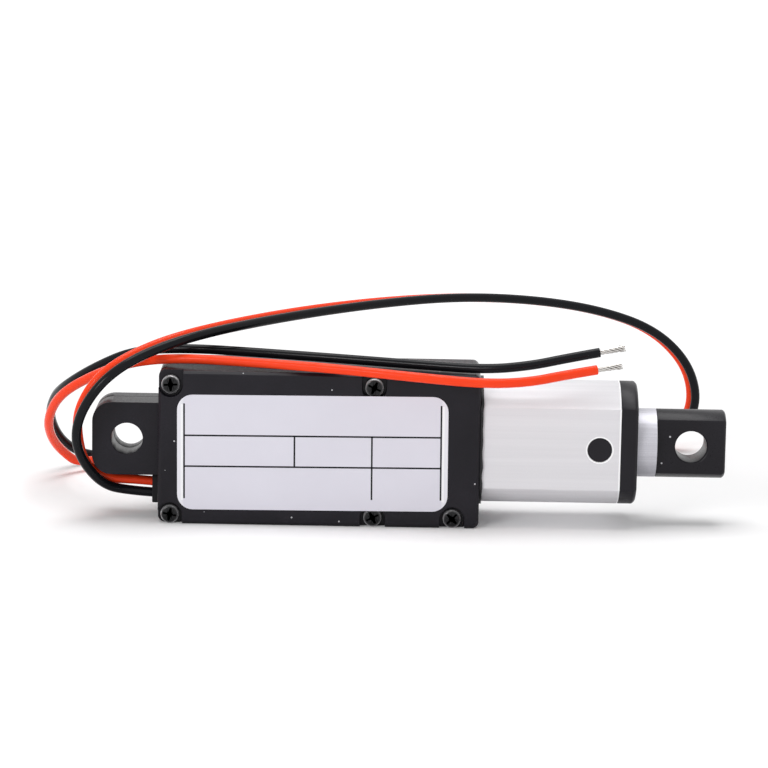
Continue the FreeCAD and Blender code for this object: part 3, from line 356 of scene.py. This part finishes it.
def rules_mesh():
    """The ruled lines, each a thin film of ink from one point to another on the plate."""
    shape = bmesh.new()
    for start, end in (
        ((-RULE_SIDE, RULE_TOP), (-RULE_SIDE, RULE_BOTTOM)),
        ((RULE_SIDE, RULE_TOP), (RULE_SIDE, RULE_BOTTOM)),
        ((-RULE_SIDE, UPPER_RULE), (RULE_SIDE, UPPER_RULE)),
        ((-RULE_SIDE, LOWER_RULE), (RULE_SIDE, LOWER_RULE)),
        ((FIRST_DIVIDER, UPPER_RULE), (FIRST_DIVIDER, LOWER_RULE)),
        ((SECOND_DIVIDER, UPPER_RULE), (SECOND_DIVIDER, RULE_BOTTOM)),
    ):
        size = [abs(b - a) + RULE_WIDTH for a, b in zip(start, end)]
        middle = [(a + b) / 2 for a, b in zip(start, end)]
        stroke = bmesh.ops.create_cube(shape, size=1)["verts"]
        bmesh.ops.scale(shape, vec=(*size, RULE_HEIGHT), verts=stroke)
        bmesh.ops.translate(shape, vec=(*middle, 0), verts=stroke)
    bmesh.ops.transform(shape, matrix=on_front(PLATE_THICKNESS), verts=shape.verts)
    return mesh_of("plate_rules", shape)


def mottled(name, scale, detail, dark, pale, rough, specular=0.5, depth=0):
    """A plain finish of two near colours in fine patches, with a bump that follows them if it has depth."""
    material, tree, shader, where = finish(name)
    patches = patchy(tree, where, scale, detail)
    tree.links.new(blend(tree, patches, dark, pale), shader.inputs["Base Color"])
    shader.inputs["Roughness"].default_value = rough
    shader.inputs["Specular IOR Level"].default_value = specular
    if depth:
        bumped(tree, shader, patches, depth)
    return material


printing_ink = mottled(
    "printing_ink",
    scale=3000.0,
    detail=2.0,
    dark=(0.006, 0.006, 0.008, 1),
    pale=(0.02, 0.02, 0.024, 1),
    rough=0.5,
    specular=0.2,
)
shown_piece("rating_plate", plate_mesh(), plate_film(), "housing")
shown_piece("plate_rules", rules_mesh(), printing_ink, "housing")


# Cover screws
# Five small black steel screws with pan heads and cross recesses hold the shells together. Each sits in
# a notch of the front shell, turned as its driver left it, and a painted highlight lies on its rim in
# patches.
HEAD_HEIGHT = 0.95 * MM
HEAD_SIDES = 24
SHARP_ANGLE = math.radians(40)
# Radius and drop in millimetres, and share of painted highlight, of each ring of the head
HEAD_STEPS = ((1.04, 0.04, 0.15), (1.14, 0.14, 1.0), (1.19, 0.3, 0.8), (1.19, 0.95, 0.0))
CROWN_RADIUS = 0.92 * MM
CROSS_REACH = 0.84 * MM
CROSS_ARM = 0.13 * MM
CROSS_DEPTH = 0.5 * MM
CROSS_TAPER = 0.6
SHANK_RADIUS = 0.7 * MM
SHANK_LENGTH = 9.5 * MM
HEAD_RECESS = 0.25 * MM
OXIDE_BLACK = (0.008, 0.008, 0.009, 1)
# Colour of the painted highlight on the screw rims
RIM_HIGHLIGHT = (0.8, 0.79, 0.81, 1)
# Place along X and Z, and turn in degrees, of each screw
SCREW_PLACES = (
    (5.75 * MM, 7.65 * MM, 3),
    (5.75 * MM, -9.3 * MM, -11),
    (31.9 * MM, 7.65 * MM, -24),
    (31.9 * MM, -9.3 * MM, 27),
    (42.15 * MM, -9.3 * MM, 45),
)


def ring_out(shape, edges, radius, height):
    """Draws a ring of edges out to a radius and a height, and returns the new ring."""
    drawn = bmesh.ops.extrude_edge_only(shape, edges=edges)["geom"]
    for vert in drawn:
        if isinstance(vert, bmesh.types.BMVert):
            flat = Vector((vert.co.x, vert.co.y, 0)).normalized() * radius
            vert.co = (flat.x, flat.y, height)
    return [item for item in drawn if isinstance(item, bmesh.types.BMEdge)]


def screw_mesh(name, x, z, turn):
    """One screw, with the share of painted highlight on its rim as an attribute of its points."""
    shape = bmesh.new()
    rim_highlight = shape.verts.layers.float.new("rim_highlight")
    bmesh.ops.create_grid(shape, x_segments=3, y_segments=3, size=CROSS_REACH)
    for vert in shape.verts:
        for axis in (0, 1):
            if abs(vert.co[axis]) < CROSS_REACH / 2:
                vert.co[axis] = math.copysign(CROSS_ARM, vert.co[axis])
    middles = {face: face.calc_center_median() for face in shape.faces}
    corners = [face for face, spot in middles.items() if min(abs(spot.x), abs(spot.y)) > CROSS_ARM]
    bmesh.ops.delete(shape, geom=corners, context="FACES")
    cross = shape.faces[:]
    mouth = [edge for edge in shape.edges if edge.is_boundary]
    crown = bmesh.ops.create_circle(shape, segments=HEAD_SIDES, radius=CROWN_RADIUS)["verts"]
    crown_edges = [edge for edge in shape.edges if edge.verts[0] in crown and edge.verts[1] in crown]
    bmesh.ops.bridge_loops(shape, edges=mouth + crown_edges)
    ring = crown_edges
    for radius, drop, rim_glint_share in HEAD_STEPS:
        ring = ring_out(shape, ring, radius * MM, -drop * MM)
        for edge in ring:
            for vert in edge.verts:
                vert[rim_highlight] = rim_glint_share
    ring = ring_out(shape, ring, SHANK_RADIUS, -HEAD_HEIGHT)
    ring = ring_out(shape, ring, SHANK_RADIUS, -HEAD_HEIGHT - SHANK_LENGTH)
    bmesh.ops.contextual_create(shape, geom=ring)
    sunk = bmesh.ops.extrude_face_region(shape, geom=cross, use_keep_orig=False)["geom"]
    floor = [item for item in sunk if isinstance(item, bmesh.types.BMVert)]
    bmesh.ops.translate(shape, vec=(0, 0, -CROSS_DEPTH), verts=floor)
    bmesh.ops.scale(shape, vec=(CROSS_TAPER, CROSS_TAPER, 1), verts=floor)
    bmesh.ops.delete(shape, geom=[face for face in cross if face.is_valid], context="FACES_ONLY")
    stand_up = Matrix.Rotation(math.radians(90), 4, "X") @ Matrix.Rotation(math.radians(turn), 4, "Z")
    spot = Matrix.Translation((x, front_face + HEAD_RECESS, z))
    bmesh.ops.transform(shape, matrix=spot @ stand_up, verts=shape.verts)
    mesh = mesh_of(name, shape, smooth=True)
    mesh.set_sharp_from_angle(angle=SHARP_ANGLE)
    return mesh


def screw_patch_effect():
    """Random patches that vary the roughness and break up the painted highlight on the rim."""
    group, given, result = effect("screw_patches", {"Vector": "Vector", "Scale": "Float"}, {"Mask": "Float"})
    patches = patchy(group, given["Vector"], given["Scale"], detail=6.0)
    group.links.new(remap(group, patches, start=(0.56, 0.72)), result["Mask"])
    return group


SCREW_PATCHES = screw_patch_effect()


def black_oxide():
    """Black coated steel, with a painted highlight in a pale steel colour on the rim of the head."""
    material, tree, shader, where = finish("black_oxide")
    rim = place(tree, "Attribute", {"attribute_name": "rim_highlight"}).outputs["Fac"]
    patch_node = place(tree, "Group", {"node_tree": SCREW_PATCHES}, {"Vector": where, "Scale": 1600.0})
    patches = patch_node.outputs["Mask"]
    # Painted highlight: the rim turns pale where its attribute and the patches meet
    painted_rim_highlight = calc(tree, "MULTIPLY", rim, remap(tree, patches, end=(0.55, 1)))
    tree.links.new(blend(tree, painted_rim_highlight, OXIDE_BLACK, RIM_HIGHLIGHT), shader.inputs["Base Color"])
    tree.links.new(remap(tree, patches, end=(0.28, 0.42)), shader.inputs["Roughness"])
    shader.inputs["Metallic"].default_value = 0.3
    shader.inputs["Specular IOR Level"].default_value = 0.2
    shader.inputs["Coat Weight"].default_value = 0.2
    shader.inputs["Coat Roughness"].default_value = 0.12
    bumped(tree, shader, patches, depth=0.006 * MM)
    return material


screw_finish = black_oxide()
for number, (x, z, turn) in enumerate(SCREW_PLACES, start=1):
    name = f"cover_screw_{number}"
    screw = shown_piece(name, screw_mesh(name, x, z, turn), screw_finish, "housing")
    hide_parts("cover_screws")


# Wire grommet and rod wiper
# Two pressed pieces of black rubber: the grommet grips the rear wall and lets the leads out, and the
# wiper ring sits in the front cap. Both are matt, with a bloom that is a little grey.
rubber = mottled(
    "matt_rubber",
    scale=700.0,
    detail=5.0,
    dark=(0.006, 0.006, 0.007, 1),
    pale=(0.018, 0.018, 0.02, 1),
    rough=0.7,
    specular=0.2,
    depth=0.01 * MM,
)
dress("wire_grommet", rubber)
dress("rod_wiper", rubber)
soften("wire_grommet", width=0.15 * MM, steps=3)


# Guide tube
# A drawn aluminium tube with two flats, blasted to a fine matt skin and clear anodised. The die leaves
# faint lines along it. A painted highlight lies along its front end and round the stud holes in its flats.
STUD_X = 61.0 * MM
STUD_HOLE = 1.58 * MM
EDGE_HIGHLIGHT_WIDTH = 0.2 * MM
EDGE_HIGHLIGHT = (0.95, 0.95, 0.96, 1)
DRAWN_OUT = (0.012, 1, 1)
PIT_SHARE = 0.4


def drawn_metal_effect():
    """Faint lines along X, as a die leaves them, over the fine pits of blasting."""
    group, given, result = effect(
        "drawn_metal",
        {
            "Vector": "Vector",
            "Dark": "Color",
            "Pale": "Color",
            "Lines": "Float",
            "Smooth": "Float",
            "Rough": "Float",
        },
        {"Colour": "Color", "Roughness": "Float", "Height": "Float"},
    )
    stretched = place(
        group, "Mapping", {"vector_type": "POINT"}, {"Vector": given["Vector"], "Scale": DRAWN_OUT}
    )
    lines = patchy(group, stretched.outputs["Vector"], given["Lines"], detail=4.0)
    pits = patchy(group, given["Vector"], scale=9000.0, detail=1.0)
    both = place(group, "Mix", {"data_type": "FLOAT"}, {"Factor": PIT_SHARE, "A": lines, "B": pits})
    mixed = both.outputs["Result"]
    share = remap(group, mixed, start=(0.3, 0.7))
    group.links.new(blend(group, share, given["Dark"], given["Pale"]), result["Colour"])
    group.links.new(remap(group, share, end=(given["Rough"], given["Smooth"])), result["Roughness"])
    group.links.new(mixed, result["Height"])
    return group


DRAWN_METAL = drawn_metal_effect()


def metal(name, dark, pale, lines, smooth, rough, depth, metallic=1.0):
    """A drawn, turned or ground metal."""
    material, tree, shader, where = finish(name)
    skin = place(
        tree,
        "Group",
        {"node_tree": DRAWN_METAL},
        {"Vector": where, "Dark": dark, "Pale": pale, "Lines": lines, "Smooth": smooth, "Rough": rough},
    )
    tree.links.new(skin.outputs["Colour"], shader.inputs["Base Color"])
    tree.links.new(skin.outputs["Roughness"], shader.inputs["Roughness"])
    shader.inputs["Metallic"].default_value = metallic
    bumped(tree, shader, skin.outputs["Height"], depth)
    return material


tube_aluminium = metal(
    "tube_aluminium",
    dark=(0.69, 0.68, 0.705, 1),
    pale=(0.74, 0.73, 0.755, 1),
    lines=2200.0,
    smooth=0.56,
    rough=0.68,
    depth=0.004 * MM,
    metallic=0.3,
)


def paint_edge_highlights(material, front):
    """Paints a highlight beside the tube's front end and round its stud holes."""
    tree = material.node_tree
    shader = tree.nodes["Principled BSDF"]
    skin = shader.inputs["Base Color"].links[0].from_socket
    axes = place(tree, "SeparateXYZ", feeds={"Vector": place(tree, "TexCoord").outputs["Object"]})
    at_front = calc(tree, "GREATER_THAN", axes.outputs["X"], front - EDGE_HIGHLIGHT_WIDTH)
    flat = place(tree, "CombineXYZ", feeds={"X": axes.outputs["X"], "Z": axes.outputs["Z"]})
    away = place(
        tree, "VectorMath", {"operation": "DISTANCE"}, {0: flat.outputs["Vector"], 1: (STUD_X, 0, 0)}
    )
    at_hole = calc(tree, "LESS_THAN", away.outputs["Value"], STUD_HOLE + EDGE_HIGHLIGHT_WIDTH)
    # Painted highlight along the front end and round the stud holes
    highlight_mask = calc(tree, "MAXIMUM", at_front, at_hole)
    tree.links.new(blend(tree, highlight_mask, skin, EDGE_HIGHLIGHT), shader.inputs["Base Color"])


paint_edge_highlights(tube_aluminium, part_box("guide_tube")[1].x)
dress("guide_tube", tube_aluminium)
soften("guide_tube", width=0.1 * MM, steps=2)


# Bead of sealant
# Black sealant squeezed out round the tube where it enters the housing. It was wiped by hand, so its
# edge wanders and its surface is lumpy and a little glossy.
BEAD_LUMP = 0.16 * MM
BEAD_LUMP_LENGTH = 1.6 * MM
BEAD_LONGEST_EDGE = 1.2 * MM
BEAD_CUTS = 14
BEAD_FOOT = 0.1 * MM


def bead_mesh():
    """The sealant's CAD shape cut finer, with its front lumpy and its seat on the housing left flat."""
    shape = bmesh.new()
    shape.from_mesh(nodes["tube_sealant"].data)
    bmesh.ops.remove_doubles(shape, verts=shape.verts, dist=WELD_DISTANCE)
    bmesh.ops.dissolve_limit(shape, angle_limit=FLAT_ANGLE, verts=shape.verts, edges=shape.edges)
    long_edges = [edge for edge in shape.edges if edge.calc_length() > BEAD_LONGEST_EDGE]
    bmesh.ops.subdivide_edges(shape, edges=long_edges, cuts=BEAD_CUTS)
    bmesh.ops.triangulate(shape, faces=shape.faces)
    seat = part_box("tube_sealant")[0].x
    for vert in shape.verts:
        if vert.co.x > seat + BEAD_FOOT:
            vert.co.x += BEAD_LUMP * noise.noise(vert.co / BEAD_LUMP_LENGTH)
    return mesh_of("sealant_bead", shape, smooth=True)


cured_sealant = mottled(
    "cured_sealant",
    scale=1500.0,
    detail=3.0,
    dark=(0.005, 0.005, 0.006, 1),
    pale=(0.016, 0.016, 0.018, 1),
    rough=0.38,
    specular=0.3,
    depth=0.04 * MM,
)
bead = shown_piece("sealant_bead", bead_mesh(), cured_sealant, "housing")
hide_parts("tube_sealant")


# Front cap
# A black moulded cap that closes the tube and guides the rod. It is held by two snap studs that show
# in the tube's flats, and its skin is smoother than the housing's.
cap_plastic = moulded_plastic(
    "cap_plastic",
    dark=(0.0068, 0.0058, 0.0085, 1),
    pale=(0.016, 0.0145, 0.0195, 1),
    grain=6500.0,
    smooth=0.3,
    rough=0.44,
    depth=0.008 * MM,
    dusty=0.16,
)
dress("front_cap", cap_plastic)
soften("front_cap", width=0.1 * MM, steps=2)


# Push rod
# A thin-walled aluminium rod, drawn, ground round and polished along its length. It slides in the cap,
# and carries the drive nut on its inner end.
rod_aluminium = metal(
    "rod_aluminium",
    dark=(0.46, 0.455, 0.5, 1),
    pale=(0.6, 0.595, 0.64, 1),
    lines=5200.0,
    smooth=0.42,
    rough=0.56,
    depth=0.005 * MM,
    metallic=0.6,
)
dress("push_rod", rod_aluminium)


# Rod end
# A black moulded eye with flat sides on the end of the rod. A spigot is pressed into the rod, and the
# cross bore takes a pin.
rod_end_plastic = moulded_plastic(
    "rod_end_plastic",
    dark=(0.0068, 0.0058, 0.0084, 1),
    pale=(0.017, 0.0155, 0.0205, 1),
    grain=5600.0,
    smooth=0.26,
    rough=0.4,
    depth=0.01 * MM,
    dusty=0.4,
)
dress("rod_end", rod_end_plastic)
soften("rod_end", width=0.12 * MM, steps=2)


# Lead screw, bearing and nut
# The steel screw turns in a ball bearing at the tube's inner end and drives a nut of natural acetal. The
# plug that holds the bearing is of the same white plastic.
ground_steel = metal(
    "ground_steel",
    dark=(0.42, 0.425, 0.44, 1),
    pale=(0.56, 0.565, 0.58, 1),
    lines=3000.0,
    smooth=0.24,
    rough=0.4,
    depth=0.004 * MM,
)
bearing_steel = metal(
    "bearing_steel",
    dark=(0.55, 0.555, 0.57, 1),
    pale=(0.64, 0.645, 0.66, 1),
    lines=4000.0,
    smooth=0.12,
    rough=0.24,
    depth=0.002 * MM,
)
acetal = mottled(
    "natural_acetal",
    scale=900.0,
    detail=4.0,
    dark=(0.72, 0.71, 0.67, 1),
    pale=(0.82, 0.81, 0.78, 1),
    rough=0.45,
    depth=0.01 * MM,
)
for node in ("lead_screw", "output_shaft", "motor_shaft", "idler_pin", "gearbox_posts"):
    dress(node, ground_steel)
for node in ("bearing_outer_ring", "bearing_inner_ring", "bearing_balls"):
    dress(node, bearing_steel)
for node in ("bearing_holder", "drive_nut", "retract_plunger", "extend_plunger"):
    dress(node, acetal)


# Motor and gear train
# A flatted motor with a plated steel can and a black end bell drives four pairs of brass spur gears
# between two brass plates. A brass sleeve joins the last shaft to the screw.
plated_steel = metal(
    "plated_steel",
    dark=(0.4, 0.4, 0.42, 1),
    pale=(0.52, 0.52, 0.54, 1),
    lines=1500.0,
    smooth=0.28,
    rough=0.44,
    depth=0.005 * MM,
)
cut_brass = metal(
    "cut_brass",
    dark=(0.56, 0.39, 0.15, 1),
    pale=(0.72, 0.53, 0.24, 1),
    lines=2600.0,
    smooth=0.22,
    rough=0.4,
    depth=0.004 * MM,
)
switch_plastic = moulded_plastic(
    "switch_plastic",
    dark=(0.02, 0.02, 0.022, 1),
    pale=(0.045, 0.045, 0.05, 1),
    grain=6000.0,
    smooth=0.4,
    rough=0.56,
    depth=0.006 * MM,
    dusty=0.0,
)
BRASS_NODES = (
    "motor_pinion",
    "first_idler_gear",
    "middle_gear",
    "second_idler_gear",
    "output_gear",
    "gearbox_rear_plate",
    "gearbox_front_plate",
    "shaft_coupling",
    "motor_terminals",
)
for node in BRASS_NODES:
    dress(node, cut_brass)
dress("motor_can", plated_steel)
dress("motor_end_bell", switch_plastic)


# Limit switches
# A narrow green circuit board lies along the tube's floor, with a small switch at each end of the nut's
# travel and two diodes that block the current past them.
solder_mask = mottled(
    "solder_mask",
    scale=2500.0,
    detail=2.0,
    dark=(0.02, 0.13, 0.05, 1),
    pale=(0.05, 0.24, 0.1, 1),
    rough=0.32,
    depth=0.006 * MM,
)
dress("limit_board", solder_mask)
for node in ("limit_switches", "blocking_diodes"):
    dress(node, switch_plastic)


# Leads
# A red and a black lead leave the grommet, loop up past the eye, run behind the housing and come back
# over it to their stripped ends. Each is tinned strand in glossy extruded insulation. Lengths are in
# metres, and the points of the routes in millimetres.
LEAD_DIAMETER = 1.25 * MM
LEAD_ROUNDNESS = 6
RED_LENGTH = 0.3245
BLACK_LENGTH = 0.3236
RED_ROUTE = (
    (3.2, -0.3, -6.2),
    (0.6, -0.3, -5.98),
    (-2.9, -1.0, -5.85),
    (-5.6, -2.8, -3.5),
    (-6.3, -4.6, 0.4),
    (-6.15, -6.2, 4.1),
    (-3.9, -6.4, 8.2),
    (0.1, -4.9, 11.05),
    (6.6, -0.8, 13.25),
    (17.9, 10.0, 14.3),
    (30.0, 21.1, 14.5),
    (42.1, 30.75, 14.05),
    (53.2, 38.15, 12.8),
    (62.9, 43.6, 10.7),
    (70.6, 46.7, 7.75),
    (75.8, 48.4, 2.9),
    (77.5, 49.4, -2.2),
    (76.5, 50.0, -6.5),
    (72.9, 49.9, -9.2),
    (65.6, 49.1, -9.85),
    (51.8, 47.7, -9.85),
    (33.8, 46.3, -9.85),
    (15.6, 43.9, -8.4),
    (2.2, 36.0, -8.1),
    (-8.36, 26.5, -9.8),
    (-11.0, 22.5, -6.75),
    (-11.95, 18.2, -3.95),
    (-11.87, 13.6, -0.7),
    (-9.85, 9.0, 3.4),
    (-4.95, 4.4, 6.88),
    (0.2, -0.6, 9.5),
    (6.5, -3.6, 10.7),
    (16.0, -5.0, 10.5),
    (27.0, -7.0, 10.2),
    (37.5, -9.4, 9.65),
    (46.0, -10.6, 9.2),
    (51.5, -10.4, 9.5),
    (56.0, -9.4, 10.3),
    (60.2, -8.4, 10.9),
)
BLACK_ROUTE = (
    (3.2, -0.7, -7.6),
    (0.5, -0.7, -7.45),
    (-3.0, -2.5, -6.5),
    (-5.6, -5.0, -3.0),
    (-6.5, -7.0, 0.8),
    (-5.4, -8.0, 4.7),
    (-2.4, -8.2, 8.8),
    (2.2, -6.5, 11.6),
    (9.0, -2.0, 13.5),
    (19.0, 9.0, 14.1),
    (31.0, 20.0, 14.45),
    (43.0, 29.5, 14.3),
    (54.0, 36.8, 12.95),
    (63.5, 42.2, 10.8),
    (71.2, 45.2, 7.8),
    (76.1, 47.0, 3.25),
    (78.1, 48.0, -2.0),
    (77.1, 48.4, -6.4),
    (73.4, 48.2, -9.2),
    (66.0, 47.4, -9.85),
    (52.0, 46.0, -9.85),
    (34.0, 44.6, -9.85),
    (16.0, 42.0, -9.85),
    (2.0, 38.4, -9.85),
    (-6.97, 32.6, -9.85),
    (-11.04, 28.6, -7.22),
    (-12.64, 23.4, -2.46),
    (-11.4, 18.0, 1.59),
    (-9.25, 12.8, 4.11),
    (-5.15, 8.6, 7.2),
    (0.2, 5.8, 10.0),
    (7.5, 3.6, 10.8),
    (17.5, 2.4, 10.5),
    (28.5, 0.2, 10.25),
    (38.5, -3.2, 10.2),
    (46.3, -5.6, 10.2),
    (52.0, -6.0, 10.9),
    (56.4, -5.4, 11.8),
    (60.7, -4.8, 12.55),
)
STRAND_COUNT = 7
STRAND_RADIUS = 0.12 * MM
STRAND_LAY = 0.24 * MM
STRAND_LENGTH = 3.3 * MM
STRAND_TURNS = 0.9
STRAND_POINTS = 12
STRAND_SPLAY = 0.5
STRAND_ROUNDNESS = 2
STRAND_WANDER = 0.12 * MM
STRANDS_APART = 3.1
WANDER_PACE = 2.0
WANDER_SEED = 7


def spline_of(curve, points):
    """Adds an open NURBS spline with the given control points."""
    spline = curve.splines.new("NURBS")
    spline.points.add(len(points) - 1)
    for point, spot in zip(spline.points, points):
        point.co = (*spot, 1)
    spline.order_u = 3
    spline.use_endpoint_u = True
    spline.resolution_u = 10


def wire_curve(name, radius, material, roundness):
    """An empty curve piece that is drawn as a round wire."""
    curve = bpy.data.curves.new(name, "CURVE")
    curve.dimensions = "3D"
    curve.bevel_depth = radius
    curve.bevel_resolution = roundness
    curve.use_fill_caps = True
    curve.materials.append(material)
    piece = bpy.data.objects.new(name, curve)
    bpy.context.scene.collection.objects.link(piece)
    return piece


def insulation(name, colour, shade):
    """Glossy extruded insulation, faintly uneven along its length."""
    material, tree, shader, where = finish(name)
    uneven = patchy(tree, where, scale=420.0, detail=4.0)
    tree.links.new(blend(tree, uneven, colour, shade), shader.inputs["Base Color"])
    tree.links.new(remap(tree, uneven, end=(0.1, 0.25)), shader.inputs["Roughness"])
    shader.inputs["Specular IOR Level"].default_value = 0.12
    bumped(tree, shader, uneven, depth=0.012 * MM)
    return material


def strand_tip(name, route, material):
    """The stripped end of a lead: strands twisted together that open a little at their tips."""
    piece = wire_curve(name, STRAND_RADIUS, material, STRAND_ROUNDNESS)
    end = Vector(route[-1]) * MM
    ahead = (end - Vector(route[-2]) * MM).normalized()
    side = ahead.orthogonal().normalized()
    for strand in range(STRAND_COUNT):
        lay = 0 if strand == 0 else STRAND_LAY
        points = []
        for step in range(STRAND_POINTS + 1):
            share = step / STRAND_POINTS
            turn = 2 * math.pi * (strand / (STRAND_COUNT - 1) + STRAND_TURNS * share)
            reach = lay * (1 + STRAND_SPLAY * share * share)
            out = Quaternion(ahead, turn) @ side * reach
            drift = noise.noise_vector((strand * STRANDS_APART, share * WANDER_PACE, len(route)))
            wander = drift * STRAND_WANDER * share
            points.append(end + ahead * STRAND_LENGTH * share + out + wander)
        spline_of(piece.data, points)
    return piece


tinned = metal(
    "tinned_strand",
    dark=(0.5, 0.48, 0.46, 1),
    pale=(0.72, 0.7, 0.67, 1),
    lines=4000.0,
    smooth=0.2,
    rough=0.36,
    depth=0.003 * MM,
)
RED_SKIN = (1.0, 0.07, 0.018, 1)
RED_SHADE = (0.92, 0.05, 0.012, 1)
BLACK_SKIN = (0.005, 0.0055, 0.007, 1)
BLACK_SHADE = (0.009, 0.0095, 0.012, 1)
LEADS = (
    ("red", RED_ROUTE, RED_LENGTH, insulation("red_insulation", RED_SKIN, RED_SHADE)),
    ("black", BLACK_ROUTE, BLACK_LENGTH, insulation("black_insulation", BLACK_SKIN, BLACK_SHADE)),
)
# Without a seed the strands' wander follows the clock, and differs from run to run
noise.seed_set(WANDER_SEED)
for colour, route, length, material in LEADS:
    lead = wire_curve(f"{colour}_lead", LEAD_DIAMETER / 2, material, LEAD_ROUNDNESS)
    spline_of(lead.data, [Vector(point) * MM for point in route])
    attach(lead, "housing")
    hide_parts(f"{colour}_wire")
    tip = strand_tip(f"{colour}_strands", route, tinned)
    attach(tip, "housing")
    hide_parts("wire_tips")


# Studio
# A seamless white table under two soft lamps and a pale sky, seen from a little above. The table glows
# to the camera and in reflections, more so further out, and still takes the actuator's shadow.
FLOOR_SIZE = 6.0
OBJECT_MIDDLE = (33 * MM, 0, 0)
NEAR_TABLE = 0.08
FAR_TABLE = 0.4
NEAR_GLOW = 0.06
FAR_GLOW = 0.7
PAPER_WHITE = (0.9, 0.9, 0.905, 1)
WORLD_LIGHT = 0.45
SEEN_WHITE = 1.0


def seen_directly(tree):
    """1 for rays that show the stage to the eye: from the camera, in a reflection or through glass."""
    path = place(tree, "LightPath")
    seen = calc(tree, "MAXIMUM", path.outputs["Is Camera Ray"], path.outputs["Is Glossy Ray"])
    return calc(tree, "MAXIMUM", seen, path.outputs["Is Transmission Ray"])


def table_top():
    """White paper that also glows where it is seen directly."""
    material = bpy.data.materials.new("table_top")
    material.use_nodes = True
    tree = material.node_tree
    tree.nodes.clear()
    paper = place(tree, "BsdfDiffuse", feeds={"Color": PAPER_WHITE})
    where = place(tree, "TexCoord").outputs["Object"]
    away = place(tree, "VectorMath", {"operation": "DISTANCE"}, {0: where, 1: OBJECT_MIDDLE})
    lift = place(
        tree,
        "MapRange",
        {"interpolation_type": "SMOOTHSTEP"},
        {
            "Value": away.outputs["Value"],
            "From Min": NEAR_TABLE,
            "From Max": FAR_TABLE,
            "To Min": NEAR_GLOW,
            "To Max": FAR_GLOW,
        },
    )
    glow = calc(tree, "MULTIPLY", seen_directly(tree), lift.outputs["Result"])
    white = place(tree, "Emission", feeds={"Color": (1, 1, 1, 1), "Strength": glow})
    both = place(tree, "AddShader", feeds={0: paper.outputs["BSDF"], 1: white.outputs["Emission"]})
    out = tree.nodes.new("ShaderNodeOutputMaterial")
    tree.links.new(both.outputs["Shader"], out.inputs["Surface"])
    return material


floor_shape = bmesh.new()
bmesh.ops.create_grid(floor_shape, x_segments=1, y_segments=1, size=FLOOR_SIZE / 2)
bmesh.ops.translate(floor_shape, vec=(0, 0, cad_box[0].z), verts=floor_shape.verts)
floor = bpy.data.objects.new("table", mesh_of("table", floor_shape))
bpy.context.scene.collection.objects.link(floor)
floor.data.materials.append(table_top())

world = bpy.data.worlds.new("studio")
world.use_nodes = True
bpy.context.scene.world = world
sky = world.node_tree.nodes["Background"]
sky.inputs["Color"].default_value = (1, 1, 1, 1)
level = place(
    world.node_tree,
    "Mix",
    {"data_type": "FLOAT"},
    {"Factor": seen_directly(world.node_tree), "A": WORLD_LIGHT, "B": SEEN_WHITE},
)
world.node_tree.links.new(level.outputs["Result"], sky.inputs["Strength"])


def soft_light(name, spot, aim, size, power):
    """A square lamp at a place, turned towards a point."""
    lamp = bpy.data.lights.new(name, "AREA")
    lamp.size = size
    lamp.energy = power
    holder = bpy.data.objects.new(name, lamp)
    holder.location = spot
    holder.rotation_mode = "QUATERNION"
    holder.rotation_quaternion = (Vector(aim) - Vector(spot)).to_track_quat("-Z", "Y")
    bpy.context.scene.collection.objects.link(holder)


soft_light("overhead", spot=(0.0, 0.1, 0.7), aim=OBJECT_MIDDLE, size=0.5, power=3.4)
soft_light("front_left", spot=(-0.4, -0.7, 0.32), aim=OBJECT_MIDDLE, size=0.25, power=2.4)

CAMERA_TARGET = Vector((33.1, 0, 7.1)) * MM
CAMERA_DISTANCE = 470 * MM
CAMERA_HEIGHT = math.radians(10)
CAMERA_ROLL = math.radians(1.02)
IMAGE_SIZE = 768
FOCAL_PIXELS = 3619
camera = bpy.data.objects.new("camera", bpy.data.cameras.new("camera"))
back = Vector((0, -math.cos(CAMERA_HEIGHT), math.sin(CAMERA_HEIGHT)))
camera.location = CAMERA_TARGET + back * CAMERA_DISTANCE
camera.rotation_mode = "QUATERNION"
camera.rotation_quaternion = (-back).to_track_quat("-Z", "Y") @ Quaternion((0, 0, 1), CAMERA_ROLL)
camera.data.sensor_width = 36
camera.data.lens = camera.data.sensor_width * FOCAL_PIXELS / IMAGE_SIZE
camera.data.clip_start = 0.01
bpy.context.scene.collection.objects.link(camera)
bpy.context.scene.camera = camera
bpy.context.scene.view_settings.view_transform = "Standard"
